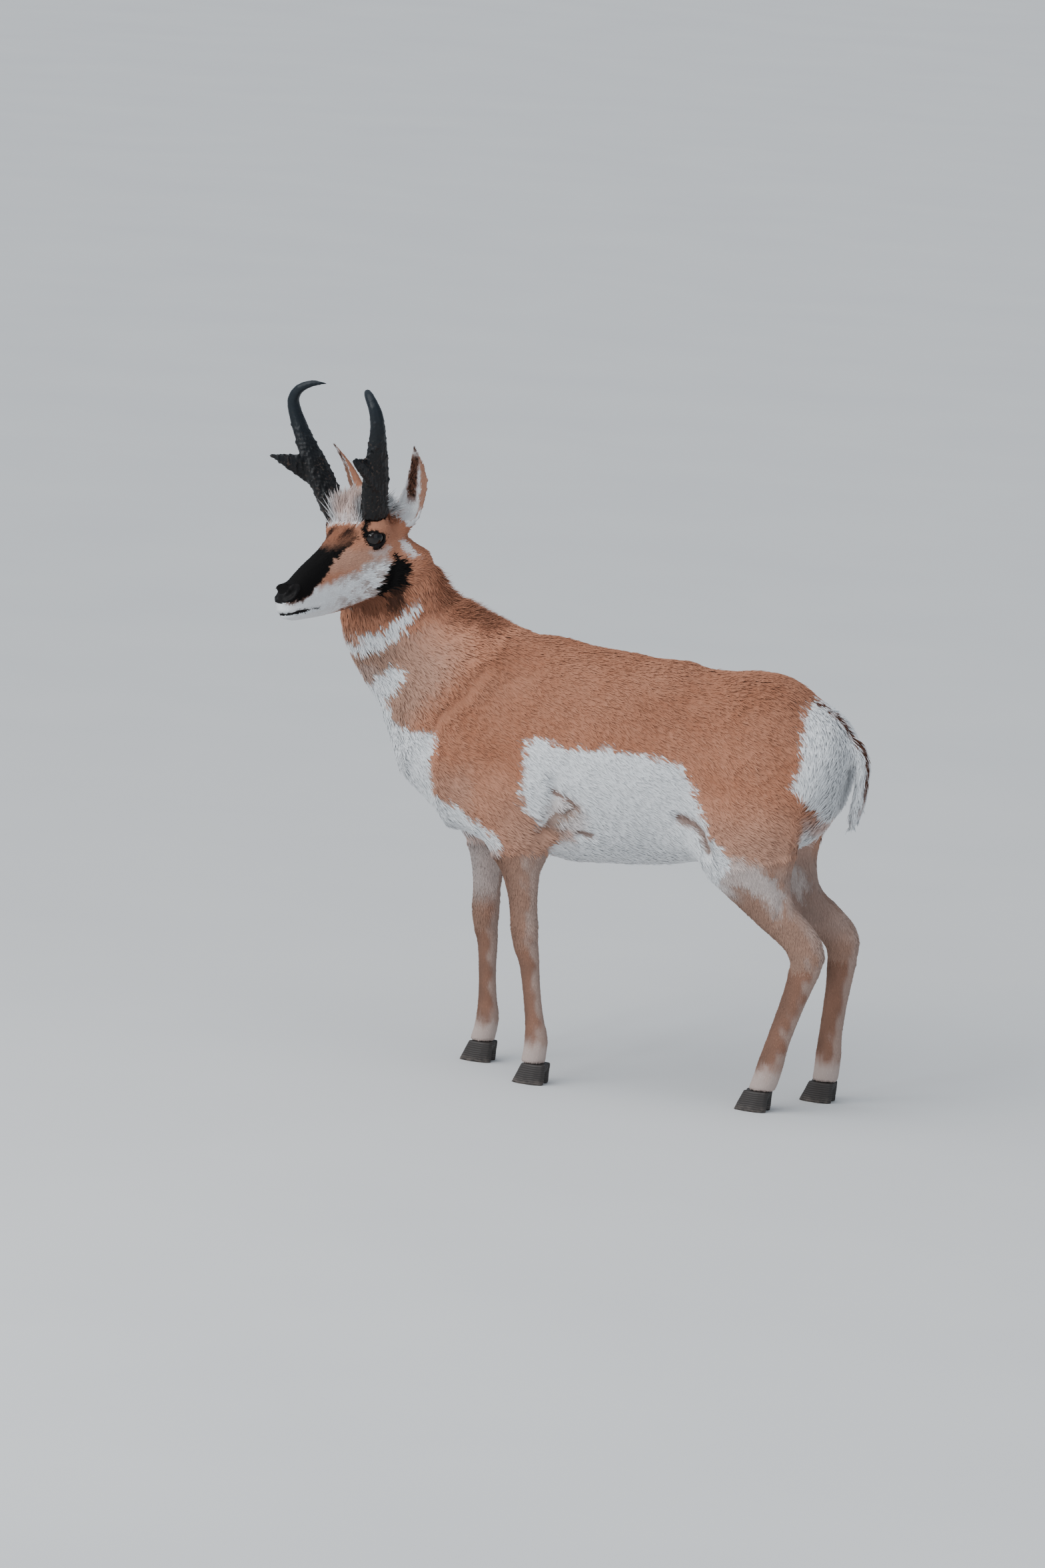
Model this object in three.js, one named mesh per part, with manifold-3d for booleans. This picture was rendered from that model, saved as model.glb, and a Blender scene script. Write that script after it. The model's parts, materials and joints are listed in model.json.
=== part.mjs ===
// A life-size pronghorn buck, standing with its head turned to its left, as a still model.
// Millimetres, +Z up. The animal faces -X, and its left side is towards -Y.
import * as THREE from "three";
import { mergeVertices } from "three/addons/utils/BufferGeometryUtils.js";
import Module from "manifold-3d";

const wasm = await Module();
wasm.setup();

// Driving sizes

const WITHERS = 864; // height of the shoulders, with the coat
const CROUP = 840; // height of the top of the hips
const BELLY = 430; // height of the belly's underside
const TRUNK_HALF = 150; // half of the trunk's greatest width
const LEFT = -1; // side factors along Y
const RIGHT = 1;
const HEAD_SIDE = { left: 1, right: -1 }; // the same sides in the head's own frame
const FORE_STANCE = 78; // from the midline to the middle of a fore foot
const HIND_STANCE = 80; // and of a hind foot
const HEAD_YAW = 62; // degrees that the head is turned to its left
const HEAD_PITCH = 14; // degrees that the nose is lowered
const HEAD_ROLL = 7; // degrees that the left side of the head is raised
const POLL = [-394, -45, 1028]; // the middle of the skull's back, where the head turns
const HEAD_LENGTH = 308;
const EYE = { x: 84, y: 44, z: 22, r: 24 }; // in the head's frame: forward, to the side, up
const HORN_ROOT = { x: 73, y: 58, z: 72 };
const EAR_ROOT = { x: -8, y: 52, z: 41 };
const EAR_LENGTH = 130;
const HOOF_LENGTH = 70;
const GAP = 0.35; // kept between pieces that touch
const SINK = 1.5; // how far a limb's root dips under the form it grows from

const V = (x, y, z) => new THREE.Vector3(x, y, z);
const rad = THREE.MathUtils.degToRad;
const lerp = THREE.MathUtils.lerp;

// Solids

// A closed geometry as a manifold-3d solid.
function solidOf(geometry) {
  const bare = new THREE.BufferGeometry();
  bare.setAttribute("position", geometry.getAttribute("position"));
  if (geometry.index) bare.setIndex(geometry.index);
  const merged = mergeVertices(bare, 1e-3);
  return new wasm.Manifold(
    new wasm.Mesh({
      numProp: 3,
      vertProperties: new Float32Array(merged.attributes.position.array),
      triVerts: new Uint32Array(merged.index.array),
    }),
  );
}

// A manifold-3d solid as a flat-shaded geometry.
function geometryOf(solid) {
  const mesh = solid.getMesh();
  const geometry = new THREE.BufferGeometry();
  const places = new Float32Array(mesh.numVert * 3);
  for (let i = 0; i < mesh.numVert; i++) {
    places.set(mesh.vertProperties.subarray(i * mesh.numProp, i * mesh.numProp + 3), i * 3);
  }
  geometry.setAttribute("position", new THREE.BufferAttribute(places, 3));
  geometry.setIndex(new THREE.BufferAttribute(new Uint32Array(mesh.triVerts), 1));
  const flat = geometry.toNonIndexed();
  flat.computeVertexNormals();
  return flat;
}

const joined = (solids) => solids.reduce((all, one) => all.add(one));

// The largest closed body of a solid, which drops loose scraps and fills sealed hollows.
function largest(solid) {
  return solid.decompose().reduce((best, one) => (one.volume() > best.volume() ? one : best));
}

// A closed skin over rings of points, with a fan over each end. Each ring runs the same way round.
function ringSkin(rings) {
  const sides = rings[0].length;
  const points = rings.flat();
  const faces = [];
  rings.slice(1).forEach((_, i) => {
    for (let j = 0; j < sides; j++) {
      const a = i * sides + j;
      const b = i * sides + ((j + 1) % sides);
      faces.push(a, b, b + sides, a, b + sides, a + sides);
    }
  });
  const middle = (ring) => ring.reduce((sum, p) => sum.add(p), V(0, 0, 0)).divideScalar(sides);
  points.push(middle(rings[0]), middle(rings.at(-1)));
  const last = (rings.length - 1) * sides;
  for (let j = 0; j < sides; j++) {
    const k = (j + 1) % sides;
    faces.push(points.length - 2, k, j);
    faces.push(points.length - 1, last + j, last + k);
  }
  const geometry = new THREE.BufferGeometry().setFromPoints(points);
  geometry.setIndex(faces);
  return geometry;
}

// A ring skin as a solid, turned outwards if its rings ran the other way.
function ringSolid(rings) {
  let solid = solidOf(ringSkin(rings));
  if (solid.volume() < 0) solid = solidOf(ringSkin(rings.map((ring) => [...ring].reverse())));
  return solid;
}

// Swept forms

// A form swept along a spine. Each station is { at, up, down, side, edge } in millimetres:
// the spine's point, how far the skin lies above, below and beside it, and how square the
// section is (2 is an ellipse). "above" is the direction nearest to the given up direction.
class Sweep {
  constructor(stations, up = V(0, 0, 1)) {
    this.stations = stations;
    this.up = up;
    this.spine = new THREE.CatmullRomCurve3(stations.map((s) => V(...s.at)), false, "centripetal");
    this.steps = (stations.length - 1) * 8;
    this.frames = Array.from({ length: this.steps + 1 }, (_, i) => this.frameAt(i / this.steps));
  }

  // The value of a station's size at t, from 0 to 1 along the spine, on a smooth curve.
  size(key, t) {
    const last = this.stations.length - 1;
    const at = Math.min(Math.max(t * last, 0), last);
    const i = Math.min(Math.floor(at), last - 1);
    const f = at - i;
    const value = (j) => this.stations[Math.min(Math.max(j, 0), last)][key] ?? 2;
    const [a, b, c, d] = [value(i - 1), value(i), value(i + 1), value(i + 2)];
    const cubic = b + 0.5 * f * (c - a + f * (2 * a - 5 * b + 4 * c - d + f * (3 * (b - c) + d - a)));
    return Math.min(Math.max(cubic, Math.min(b, c)), Math.max(b, c));
  }

  frameAt(t) {
    const at = this.spine.getPoint(t);
    const along = this.spine.getTangent(t);
    const above = this.up.clone().addScaledVector(along, -this.up.dot(along)).normalize();
    const beside = V(0, 0, 0).crossVectors(along, above);
    const sizes = ["up", "down", "side", "edge"].map((key) => this.size(key, t));
    return { t, at, along, above, beside, sizes };
  }

  // How far the skin lies from the spine in a direction of the section plane.
  reach(frame, above, beside) {
    const [up, down, side, edge] = frame.sizes;
    const high = Math.abs(above) / (above > 0 ? up : down);
    const wide = Math.abs(beside) / side;
    return 1 / Math.pow(Math.pow(high, edge) + Math.pow(wide, edge), 1 / edge);
  }

  // Roughly how far a point is outside the form, negative inside it.
  depth(p) {
    let best = this.frames[0];
    let least = Infinity;
    for (const frame of this.frames) {
      const d = p.distanceToSquared(frame.at);
      if (d < least) [least, best] = [d, frame];
    }
    const offset = p.clone().sub(best.at);
    const step = THREE.MathUtils.clamp(offset.dot(best.along), -30, 30);
    const t = THREE.MathUtils.clamp(best.t + step / this.length(), 0, 1);
    const frame = this.frameAt(t);
    offset.copy(p).sub(frame.at);
    const r = offset.length();
    if (r < 1e-6) return -frame.sizes[2];
    const above = offset.dot(frame.above);
    const beside = offset.dot(frame.beside);
    const flat = Math.hypot(above, beside) || 1e-6;
    return r - this.reach(frame, above / flat, beside / flat);
  }

  length() {
    this.spineLength ??= this.spine.getLength();
    return this.spineLength;
  }
}

// A rounded mass, an ellipsoid turned about the Y axis by lean degrees.
class Mass {
  constructor(at, sizes, lean = 0) {
    this.at = V(...at);
    this.sizes = sizes;
    this.turn = new THREE.Quaternion().setFromAxisAngle(V(0, 1, 0), rad(-lean));
  }

  depth(p) {
    const q = p.clone().sub(this.at).applyQuaternion(this.turn);
    const [a, b, c] = this.sizes;
    const k = Math.hypot(q.x / a, q.y / b, q.z / c);
    return k < 1e-6 ? -Math.min(a, b, c) : q.length() * (1 - 1 / k);
  }
}

// The smaller of two depths, with the corner between them rounded over a width.
function blend(a, b, width) {
  const h = Math.max(width - Math.abs(a - b), 0) / width;
  return Math.min(a, b) - (h * h * width) / 4;
}

// The combined depth of forms that are blended into one another.
function blended(forms, width) {
  return (p) => forms.map((form) => form.depth(p)).reduce((a, b) => blend(a, b, width));
}

// Rings round a sweep, cast outwards from its spine on to a body given by its depth function.
function castRings(sweep, depth, count, sides, { stretch = 1.5, grow = 0 } = {}) {
  return Array.from({ length: count }, (_, i) => {
    const frame = sweep.frameAt(i / (count - 1));
    return Array.from({ length: sides }, (_, j) => {
      const angle = (2 * Math.PI * (j + 0.5)) / sides;
      const [above, beside] = [Math.cos(angle), Math.sin(angle)];
      const out = frame.above.clone().multiplyScalar(above).addScaledVector(frame.beside, beside);
      const own = sweep.reach(frame, above, beside);
      const place = (r) => frame.at.clone().addScaledVector(out, r);
      let low = own * 0.5;
      let high = own * stretch;
      if (depth(place(high)) < 0) return place(high + grow);
      for (let k = 0; k < 14; k++) {
        const mid = (low + high) / 2;
        if (depth(place(mid)) < 0) low = mid;
        else high = mid;
      }
      return place(low + grow);
    });
  });
}

// Trunk

// The trunk's sections, from the breast to the buttocks. at.x runs along the animal.
const TRUNK = [
  { at: [-358, 0, 628], up: 22, down: 26, side: 24 },
  { at: [-330, 0, 626], up: 80, down: 72, side: 56 },
  { at: [-278, 0, 640], up: 148, down: 142, side: 86 },
  { at: [-205, 0, 650], up: WITHERS - 654, down: 200, side: 114 },
  { at: [-84, 0, 648], up: WITHERS - 650, down: 208, side: 132 },
  { at: [24, 0, 642], up: 206, down: 216, side: TRUNK_HALF - 4 },
  { at: [130, 0, 640], up: 201, down: 206, side: TRUNK_HALF },
  { at: [236, 0, 648], up: 191, down: 196, side: TRUNK_HALF - 12 },
  { at: [320, 0, 668], up: 164, down: 176, side: 128 },
  { at: [384, 0, 680], up: CROUP - 688, down: 166, side: 118 },
  { at: [448, 0, 676], up: 118, down: 134, side: 106 },
  { at: [508, 0, 664], up: 84, down: 100, side: 82 },
  { at: [538, 0, 658], up: 44, down: 54, side: 44 },
];

// The muscle masses that bulge from the trunk's sides.
function trunkMasses() {
  return [LEFT, RIGHT].flatMap((side) => [
    new Mass([-212, side * 70, 650], [84, 62, 186], 14), // shoulder blade and upper arm
    new Mass([-128, side * 82, 530], [72, 48, 80], 24), // elbow
    new Mass([-276, side * 46, 584], [60, 52, 88], -14), // point of the shoulder
    new Mass([392, side * 72, 626], [112, 72, 180], -16), // thigh
    new Mass([340, side * 88, 520], [82, 48, 92], -30), // stifle
    new Mass([474, side * 50, 640], [68, 56, 108], 8), // buttock
    new Mass([450, side * 64, 556], [68, 44, 88], -12), // back of the thigh
    new Mass([362, side * 48, 772], [64, 56, 38], 0), // point of the hip
  ]);
}

const trunkSweep = new Sweep(TRUNK);
const trunkDepth = blended([trunkSweep, ...trunkMasses()], 46);

// Neck

const NECK = [
  { at: [-226, 0, 716], up: 146, down: 164, side: 96 },
  { at: [-316, 0, 790], up: 132, down: 138, side: 88 },
  { at: [-358, -12, 830], up: 120, down: 120, side: 80 },
  { at: [-376, -30, 876], up: 112, down: 114, side: 76 },
  { at: [-380, -54, 928], up: 98, down: 104, side: 70 },
  { at: [-388, -66, 978], up: 84, down: 84, side: 60 },
  { at: [-396, -76, 1012], up: 52, down: 46, side: 42 },
];
const neckSweep = new Sweep(NECK, V(0.9, 0.1, 0.5));

// Head, in its own frame: x forward from the poll, y to the animal's left, z up

const headFrame = new THREE.Matrix4()
  .makeTranslation(...POLL)
  .multiply(new THREE.Matrix4().makeRotationZ(rad(180 + HEAD_YAW)))
  .multiply(new THREE.Matrix4().makeRotationY(rad(HEAD_PITCH)))
  .multiply(new THREE.Matrix4().makeRotationX(rad(HEAD_ROLL)));
const inHead = (x, y, z) => V(x, y, z).applyMatrix4(headFrame);
const headTurn = new THREE.Quaternion().setFromRotationMatrix(headFrame);
const headWay = (x, y, z) => V(x, y, z).applyQuaternion(headTurn).normalize();

// A solid built in the head's frame, moved to its place on the animal.
const onHead = (solid) => solid.transform(headFrame.elements);

const HEAD = [
  { at: [-10, 0, -14], up: 40, down: 44, side: 36 },
  { at: [10, 0, -18], up: 68, down: 76, side: 53 },
  { at: [44, 0, -20], up: 84, down: 88, side: 59, edge: 2.2 },
  { at: [84, 0, -22], up: 82, down: 88, side: 57, edge: 2.3 },
  { at: [120, 0, -26], up: 72, down: 82, side: 49, edge: 2.3 },
  { at: [150, 0, -32], up: 64, down: 74, side: 41, edge: 2.4 },
  { at: [180, 0, -37], up: 58, down: 67, side: 36, edge: 2.5 },
  { at: [212, 0, -42], up: 53, down: 59, side: 32, edge: 2.6 },
  { at: [240, 0, -46], up: 46, down: 51, side: 29.5, edge: 2.6 },
  { at: [264, 0, -49], up: 38, down: 43, side: 28.5, edge: 2.5 },
  { at: [284, 0, -50], up: 31, down: 37, side: 26, edge: 2.4 },
  { at: [297, 0, -49], up: 24, down: 29, side: 20.5, edge: 2.2 },
  { at: [HEAD_LENGTH - 3, 0, -46], up: 11, down: 12, side: 10 },
];

function headMasses() {
  const masses = [LEFT, RIGHT].flatMap((side) => [
    new Mass([EYE.x + 4, side * 35, EYE.z + 1], [40, 22, 29], 0), // orbit
    new Mass([50, side * 38, -62], [48, 21, 40], 10), // jaw muscle
    new Mass([HORN_ROOT.x - 1, side * 52, 48], [34, 26, 30], 0), // horn pedicle
    new Mass([288, side * 13, -29], [18, 13, 16], 0), // nostril wing
    new Mass([-6, side * 40, 26], [26, 24, 26], 0), // ear root
  ]);
  return masses;
}

const headSweep = new Sweep(HEAD);
const headDepth = blended([headSweep, ...headMasses()], 18);

const coreRing = (x, half) => [V(x, half, -40), V(x, -half, -40), V(x, -half, -100), V(x, half, -100)];

// The line of the mouth: a thin slot from lip to lip that leaves the middle of the muzzle whole.
function mouthCut() {
  const line = [
    [HEAD_LENGTH + 8, -66],
    [294, -70],
    [268, -72],
    [244, -74],
    [226, -77],
  ];
  const thick = 2.4;
  const rings = line.map(([x, z], i) => {
    const half = lerp(48, 30, i / (line.length - 1));
    const t = i === line.length - 1 ? thick / 3 : thick;
    return [V(x, half, z + t), V(x, -half, z + t), V(x, -half, z - t), V(x, half, z - t)];
  });
  return ringSolid(rings).subtract(
    ringSolid([
      coreRing(HEAD_LENGTH - 17, 17),
      coreRing(215, 21),
    ]),
  );
}

// A comma-shaped nostril, sunk into the side of the nose.
function nostrilCut(side) {
  const way = [
    [309, side * 6, -33, 2.5],
    [303, side * 13, -34, 5],
    [293, side * 21, -31, 6],
    [281, side * 26, -22, 3.6],
    [273, side * 28, -16, 1.5],
  ];
  const spine = new THREE.CatmullRomCurve3(way.map(([x, y, z]) => V(x, y, z)));
  const rings = Array.from({ length: 9 }, (_, i) => {
    const t = i / 8;
    const at = spine.getPoint(t);
    const along = spine.getTangent(t);
    const over = V(0, 0, 1).addScaledVector(along, -along.z).normalize();
    const out = V(0, 0, 0).crossVectors(along, over);
    const k = Math.min(t * 4, 3.999);
    const r = lerp(way[Math.floor(k)][3], way[Math.floor(k) + 1][3], k % 1);
    return Array.from({ length: 8 }, (_, j) => {
      const angle = (j / 8) * 2 * Math.PI;
      return at.clone().addScaledVector(over, r * Math.cos(angle)).addScaledVector(out, 1.6 * r * Math.sin(angle));
    });
  });
  return ringSolid(rings);
}

// A band of thick skin that hugs the eyeball, with a higher arch above than below.
function lids(side) {
  const eye = V(EYE.x, side * EYE.y, EYE.z);
  const axis = V(0.24, side * 0.97, 0.03).normalize();
  const fore = V(1, 0, 0).addScaledVector(axis, -axis.x).normalize();
  const high = V(0, 0, 1).addScaledVector(axis, -axis.z).normalize();
  const rings = Array.from({ length: 18 }, (_, i) => {
    const a = (i / 18) * 2 * Math.PI;
    const wide = rad(a < Math.PI / 2 || a > 1.5 * Math.PI ? 62 : 56); // drawn out in front
    const tall = rad(a < Math.PI ? 42 : 35);
    const angle = 1 / Math.hypot(Math.cos(a) / wide, Math.sin(a) / tall);
    const away = fore.clone().multiplyScalar(Math.cos(a)).addScaledVector(high, Math.sin(a));
    const out = axis.clone().multiplyScalar(Math.cos(angle)).addScaledVector(away, Math.sin(angle));
    const over = away.clone().multiplyScalar(Math.cos(angle)).addScaledVector(axis, -Math.sin(angle));
    const rim = eye.clone().addScaledVector(out, EYE.r + 2);
    return Array.from({ length: 5 }, (_, j) => {
      const b = (j / 5) * 2 * Math.PI;
      return rim
        .clone()
        .addScaledVector(out, 3.4 * Math.cos(b))
        .addScaledVector(over, 5.5 * Math.sin(b) + 1.5);
    });
  });
  return loopSolid(rings);
}

// A closed loop of rings, such as a band round an eye, as a solid.
function loopSolid(rings) {
  const build = (list) => {
    const sides = list[0].length;
    const faces = [];
    list.forEach((_, i) => {
      const next = ((i + 1) % list.length) * sides;
      for (let j = 0; j < sides; j++) {
        const k = (j + 1) % sides;
        faces.push(i * sides + j, i * sides + k, next + k, i * sides + j, next + k, next + j);
      }
    });
    const geometry = new THREE.BufferGeometry().setFromPoints(list.flat());
    geometry.setIndex(faces);
    return solidOf(geometry);
  };
  const solid = build(rings);
  return solid.volume() > 0 ? solid : build(rings.map((ring) => [...ring].reverse()));
}

function eyeball(side, grow = 0) {
  const ball = new THREE.SphereGeometry(EYE.r + grow, 14, 10);
  ball.deleteAttribute("normal");
  ball.deleteAttribute("uv");
  ball.translate(EYE.x, side * EYE.y, EYE.z);
  return solidOf(ball);
}

// Horns

// From the root upwards: forward, outward and up from the root, then half the
// fore-and-aft and half the sideways thickness.
const HORN = [
  [2, -6, -16, 28, 17],
  [0, 0, 0, 31, 19],
  [1, 9, 34, 30, 18],
  [0, 20, 68, 31, 17],
  [-1, 32, 108, 27, 15],
  [-3, 44, 148, 19, 13.5],
  [-5, 53, 194, 15, 12.5],
  [-5, 51, 218, 12.5, 11.5],
  [-11, 39, 236, 10.5, 10],
  [-23, 22, 243, 8, 8],
  [-35, 8, 242, 5, 5],
  [-46, -2, 237, 1.6, 1.6],
];

// The prong, a flat blade that leaves the horn's front edge: forward, outward, up,
// then half of its height and half of its thickness.
const PRONG = [
  [0, 22, 76, 36, 10],
  [23, 30, 92, 27, 9],
  [44, 38, 107, 18, 7.5],
  [64, 47, 121, 10, 5],
  [80, 56, 131, 2, 2],
];
const HORN_GROWTH = { left: { out: 1.05, high: 0.93 }, right: { out: 1.18, high: 1 } };

function hornRings(rows, side, sides, steps, grow) {
  const { out, high } = HORN_GROWTH[side > 0 ? "left" : "right"];
  const at = ([f, o, u]) => V(HORN_ROOT.x + f, side * (HORN_ROOT.y + out * o), HORN_ROOT.z + high * u);
  const spine = new THREE.CatmullRomCurve3(rows.map(at), false, "centripetal");
  const upright = rows === HORN;
  return Array.from({ length: steps }, (_, i) => {
    const t = i / (steps - 1);
    const k = Math.min(t * (rows.length - 1), rows.length - 1.001);
    const [a, b] = [rows[Math.floor(k)], rows[Math.floor(k) + 1]];
    const [long, thin] = [3, 4].map((n) => lerp(a[n], b[n], k % 1) + grow);
    const along = spine.getTangent(t);
    const guide = upright ? V(1, 0, 0.2) : V(0, 0, 1);
    const wide = guide.addScaledVector(along, -guide.dot(along)).normalize();
    const flat = V(0, 0, 0).crossVectors(along, wide);
    return Array.from({ length: sides }, (_, j) => {
      const angle = ((j + 0.5) / sides) * 2 * Math.PI;
      const rough = upright ? 1 + 0.035 * Math.sin(5 * angle + 9 * t) * (1 - t) : 1;
      return spine
        .getPoint(t)
        .addScaledVector(wide, long * rough * Math.cos(angle))
        .addScaledVector(flat, thin * rough * Math.sin(angle));
    });
  });
}

function hornSolid(side, grow = 0) {
  const beam = ringSolid(hornRings(HORN, side, 11, 20, grow));
  const prong = ringSolid(hornRings(PRONG, side, 8, 6, grow));
  return beam.add(prong);
}

// Ears

// Which way each ear points, and which way its cup opens, in the head's frame.
const EAR_WAYS = {
  left: { lean: V(-0.28, 0.14, 0.94).normalize(), facing: V(0.62, 0.78, 0).normalize() },
  right: { lean: V(0.02, -0.27, 0.95).normalize(), facing: V(0.86, -0.5, 0).normalize() },
};

// A pointed cup on a filled root. It opens along the given way, and its edges come together at
// the tip. The socket that an ear leaves in the head is the same shape, filled and grown.
function earSolid(side, lean, facing, grow = 0) {
  const length = EAR_LENGTH;
  const root = V(EAR_ROOT.x, side * EAR_ROOT.y, EAR_ROOT.z);
  const tip = root.clone().addScaledVector(lean, length);
  const bow = V(-14, side * 5, 0);
  const spine = new THREE.CatmullRomCurve3([
    root.clone().addScaledVector(lean, -22 - grow),
    root,
    root.clone().lerp(tip, 0.5).add(bow),
    tip,
  ]);
  const across = V(0, 0, 0).crossVectors(lean, facing).normalize();
  const arc = 5; // points along each face of the shell
  const rings = Array.from({ length: 13 }, (_, i) => {
    const t = i / 12;
    const at = spine.getPoint(t);
    const swell = Math.sin(Math.PI * Math.min(Math.pow(t, 0.72) * 0.94 + 0.06, 1));
    const width = t < 0.2 ? lerp(17, 22, t / 0.2) : Math.max(27 * Math.pow(swell, 0.8), 1.6);
    const half = width + grow;
    const cup = lerp(2.6, 1.05, t); // how far round the shell wraps, in radians each way
    const thick = lerp(7, 2.2, Math.min(t * 1.6, 1)) * Math.min(1, (1 - t) * 6 + 0.35);
    const rooted = t < 0.16;
    const point = (r, w) =>
      at.clone()
        .addScaledVector(across, r * Math.sin(w) / Math.max(Math.sin(Math.min(cup, Math.PI / 2)), 0.5))
        .addScaledVector(facing, -r * Math.cos(w) * 0.8 + (rooted ? 0 : r * 0.25));
    const outer = Array.from({ length: arc }, (_, j) => point(half, lerp(-cup, cup, j / (arc - 1))));
    const inner = Array.from({ length: arc }, (_, j) => {
      const w = lerp(cup, -cup, j / (arc - 1));
      return rooted || grow > 0
        ? outer[arc - 1].clone().lerp(outer[0], (j + 1) / (arc + 1))
        : point(Math.max(half - thick, half * 0.35), w * 0.97);
    });
    return [...outer, ...inner];
  });
  return ringSolid(rings);
}

// Legs

// A leg is a sweep down its middle. Each row is x, y, z, then how far the skin lies in front,
// behind and beside the bone's line.
function legSweep(rows) {
  const stations = rows.map(([x, y, z, front, rear, side]) => ({
    at: [x, y, z],
    up: front,
    down: rear,
    side,
    edge: 2,
  }));
  return new Sweep(stations, V(-1, 0, 0));
}

// A foreleg, which leans by lean from its foot at x up to the elbow.
function foreleg(side, x, lean) {
  const y = side * FORE_STANCE;
  const line = (z) => x + (z / 440) * lean;
  return legSweep([
    [line(560) - 4, y * 1.04, 560, 66, 60, 34],
    [line(490) - 7, y * 1.04, 490, 60, 54, 34],
    [line(430) - 7, y * 1.03, 430, 46, 44, 31],
    [line(380) - 6, y * 1.02, 380, 35, 35, 27],
    [line(338) - 6, y, 338, 30, 30, 24],
    [line(304) - 6, y, 304, 31, 30, 27],
    [line(272) - 4, y, 272, 29, 25, 25],
    [line(236), y, 236, 22, 21, 19],
    [line(180) + 1, y, 180, 18.5, 19, 16.5],
    [line(122) + 3, y, 122, 19, 21, 17],
    [line(88) + 4, y, 88, 23, 26, 21.5],
    [line(62) + 1, y, 62, 24, 25, 21.5],
    [line(42) - 4, y, 42, 25, 26, 22],
    [line(22) - 9, y, 22, 24, 24, 20],
  ]);
}

// A hind leg from the thigh to its foot at x, by way of the hock.
function hindleg(side, x, hock) {
  const y = side * HIND_STANCE;
  const knee = { x: 378, z: 470 };
  const gaskin = (k, m) => [lerp(knee.x, hock.x, k), lerp(knee.z, hock.z, m)];
  const shin = (z) => lerp(x, hock.x, (z - 24) / (hock.z - 24));
  const row = ([px, pz], wide, ...sizes) => [px, y * wide, pz, ...sizes];
  return legSweep([
    [356, y, 600, 92, 100, 50],
    [362, y * 1.06, 520, 84, 98, 52],
    row([knee.x, knee.z], 1.08, 72, 78, 43),
    row(gaskin(0.2, 0.316), 1.06, 54, 56, 33),
    row(gaskin(0.51, 0.582), 1.02, 44, 42, 27),
    row(gaskin(0.826, 0.797), 1, 39, 40, 25),
    row(gaskin(1, 1), 1, 38, 42, 26),
    [shin(hock.z - 28) + 6, y, hock.z - 28, 33, 33, 24],
    [shin(240) + 5, y, 240, 27, 28, 20],
    [shin(190) + 2, y, 190, 24, 26, 18],
    [shin(135), y, 135, 24, 25, 18],
    [shin(95), y, 95, 26, 28, 21],
    [shin(68), y, 68, 26, 28, 22.5],
    [shin(44) - 1, y, 44, 26, 27, 22.5],
    [shin(22) - 6, y, 22, 24, 25, 20],
  ]);
}

// Where each foot stands, and how far its leg leans.
const LEGS = {
  fore_left: { side: LEFT, foot: -24, lean: -52 },
  fore_right: { side: RIGHT, foot: -182, lean: -10 },
  hind_left: { side: LEFT, foot: 424, hock: { x: 499, z: 312 } },
  hind_right: { side: RIGHT, foot: 508, hock: { x: 522, z: 318 } },
};
const CORONET = 40; // height at which the hoof meets the skin

function legSolid(leg, grow = 0) {
  const sweep = leg.hock ? hindleg(leg.side, leg.foot, leg.hock) : foreleg(leg.side, leg.foot, leg.lean);
  const depth = (p) => blend(sweep.depth(p), trunkDepth(p) + SINK, 60);
  return ringSolid(castRings(sweep, depth, 28, 12, { stretch: 1.35, grow }));
}

// One claw of a cloven hoof: flat below, its wall sloping forward to a point.
function clawSolid(x, y, inner) {
  const high = CORONET + 24;
  const outline = (z) => {
    const k = z / high;
    const front = x - HOOF_LENGTH * 0.5 + k * 30;
    const rear = x + HOOF_LENGTH * 0.46 + k * 4;
    const half = 13.6 - 1.5 * k;
    return Array.from({ length: 10 }, (_, j) => {
      const a = (j / 10) * 2 * Math.PI;
      const u = (1 - Math.cos(a)) / 2; // 0 at the toe, 1 at the heel
      const wide = half * Math.sin(a) * (0.66 + 0.48 * u);
      const bend = inner * (1 - u) * 3; // the toes lean together
      return V(lerp(front, rear, u), y + wide + bend, z);
    });
  };
  return ringSolid([0, high * 0.35, high].map(outline));
}

function hoofSolid(leg) {
  const y = leg.side * (leg.hock ? HIND_STANCE : FORE_STANCE);
  const split = 14.6;
  const x = leg.foot - 12;
  const claws = clawSolid(x, y - split, 1).add(clawSolid(x, y + split, -1));
  const bridge = new THREE.SphereGeometry(1, 10, 8);
  bridge.deleteAttribute("normal");
  bridge.deleteAttribute("uv");
  bridge.scale(24, 20, 18);
  bridge.translate(x + 10, y, CORONET - 6);
  return claws.add(solidOf(bridge));
}

// Tail

const TAIL = [
  { at: [498, 0, 728], up: 16, down: 16, side: 22 },
  { at: [534, 1, 716], up: 15, down: 15, side: 26 },
  { at: [558, 2, 688], up: 14, down: 13, side: 29 },
  { at: [563, 3, 650], up: 13, down: 12, side: 31 },
  { at: [560, 4, 610], up: 13, down: 12, side: 30 },
  { at: [552, 5, 572], up: 11, down: 10, side: 24 },
  { at: [545, 5, 548], up: 3, down: 3, side: 6 },
];

// Mane

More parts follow.
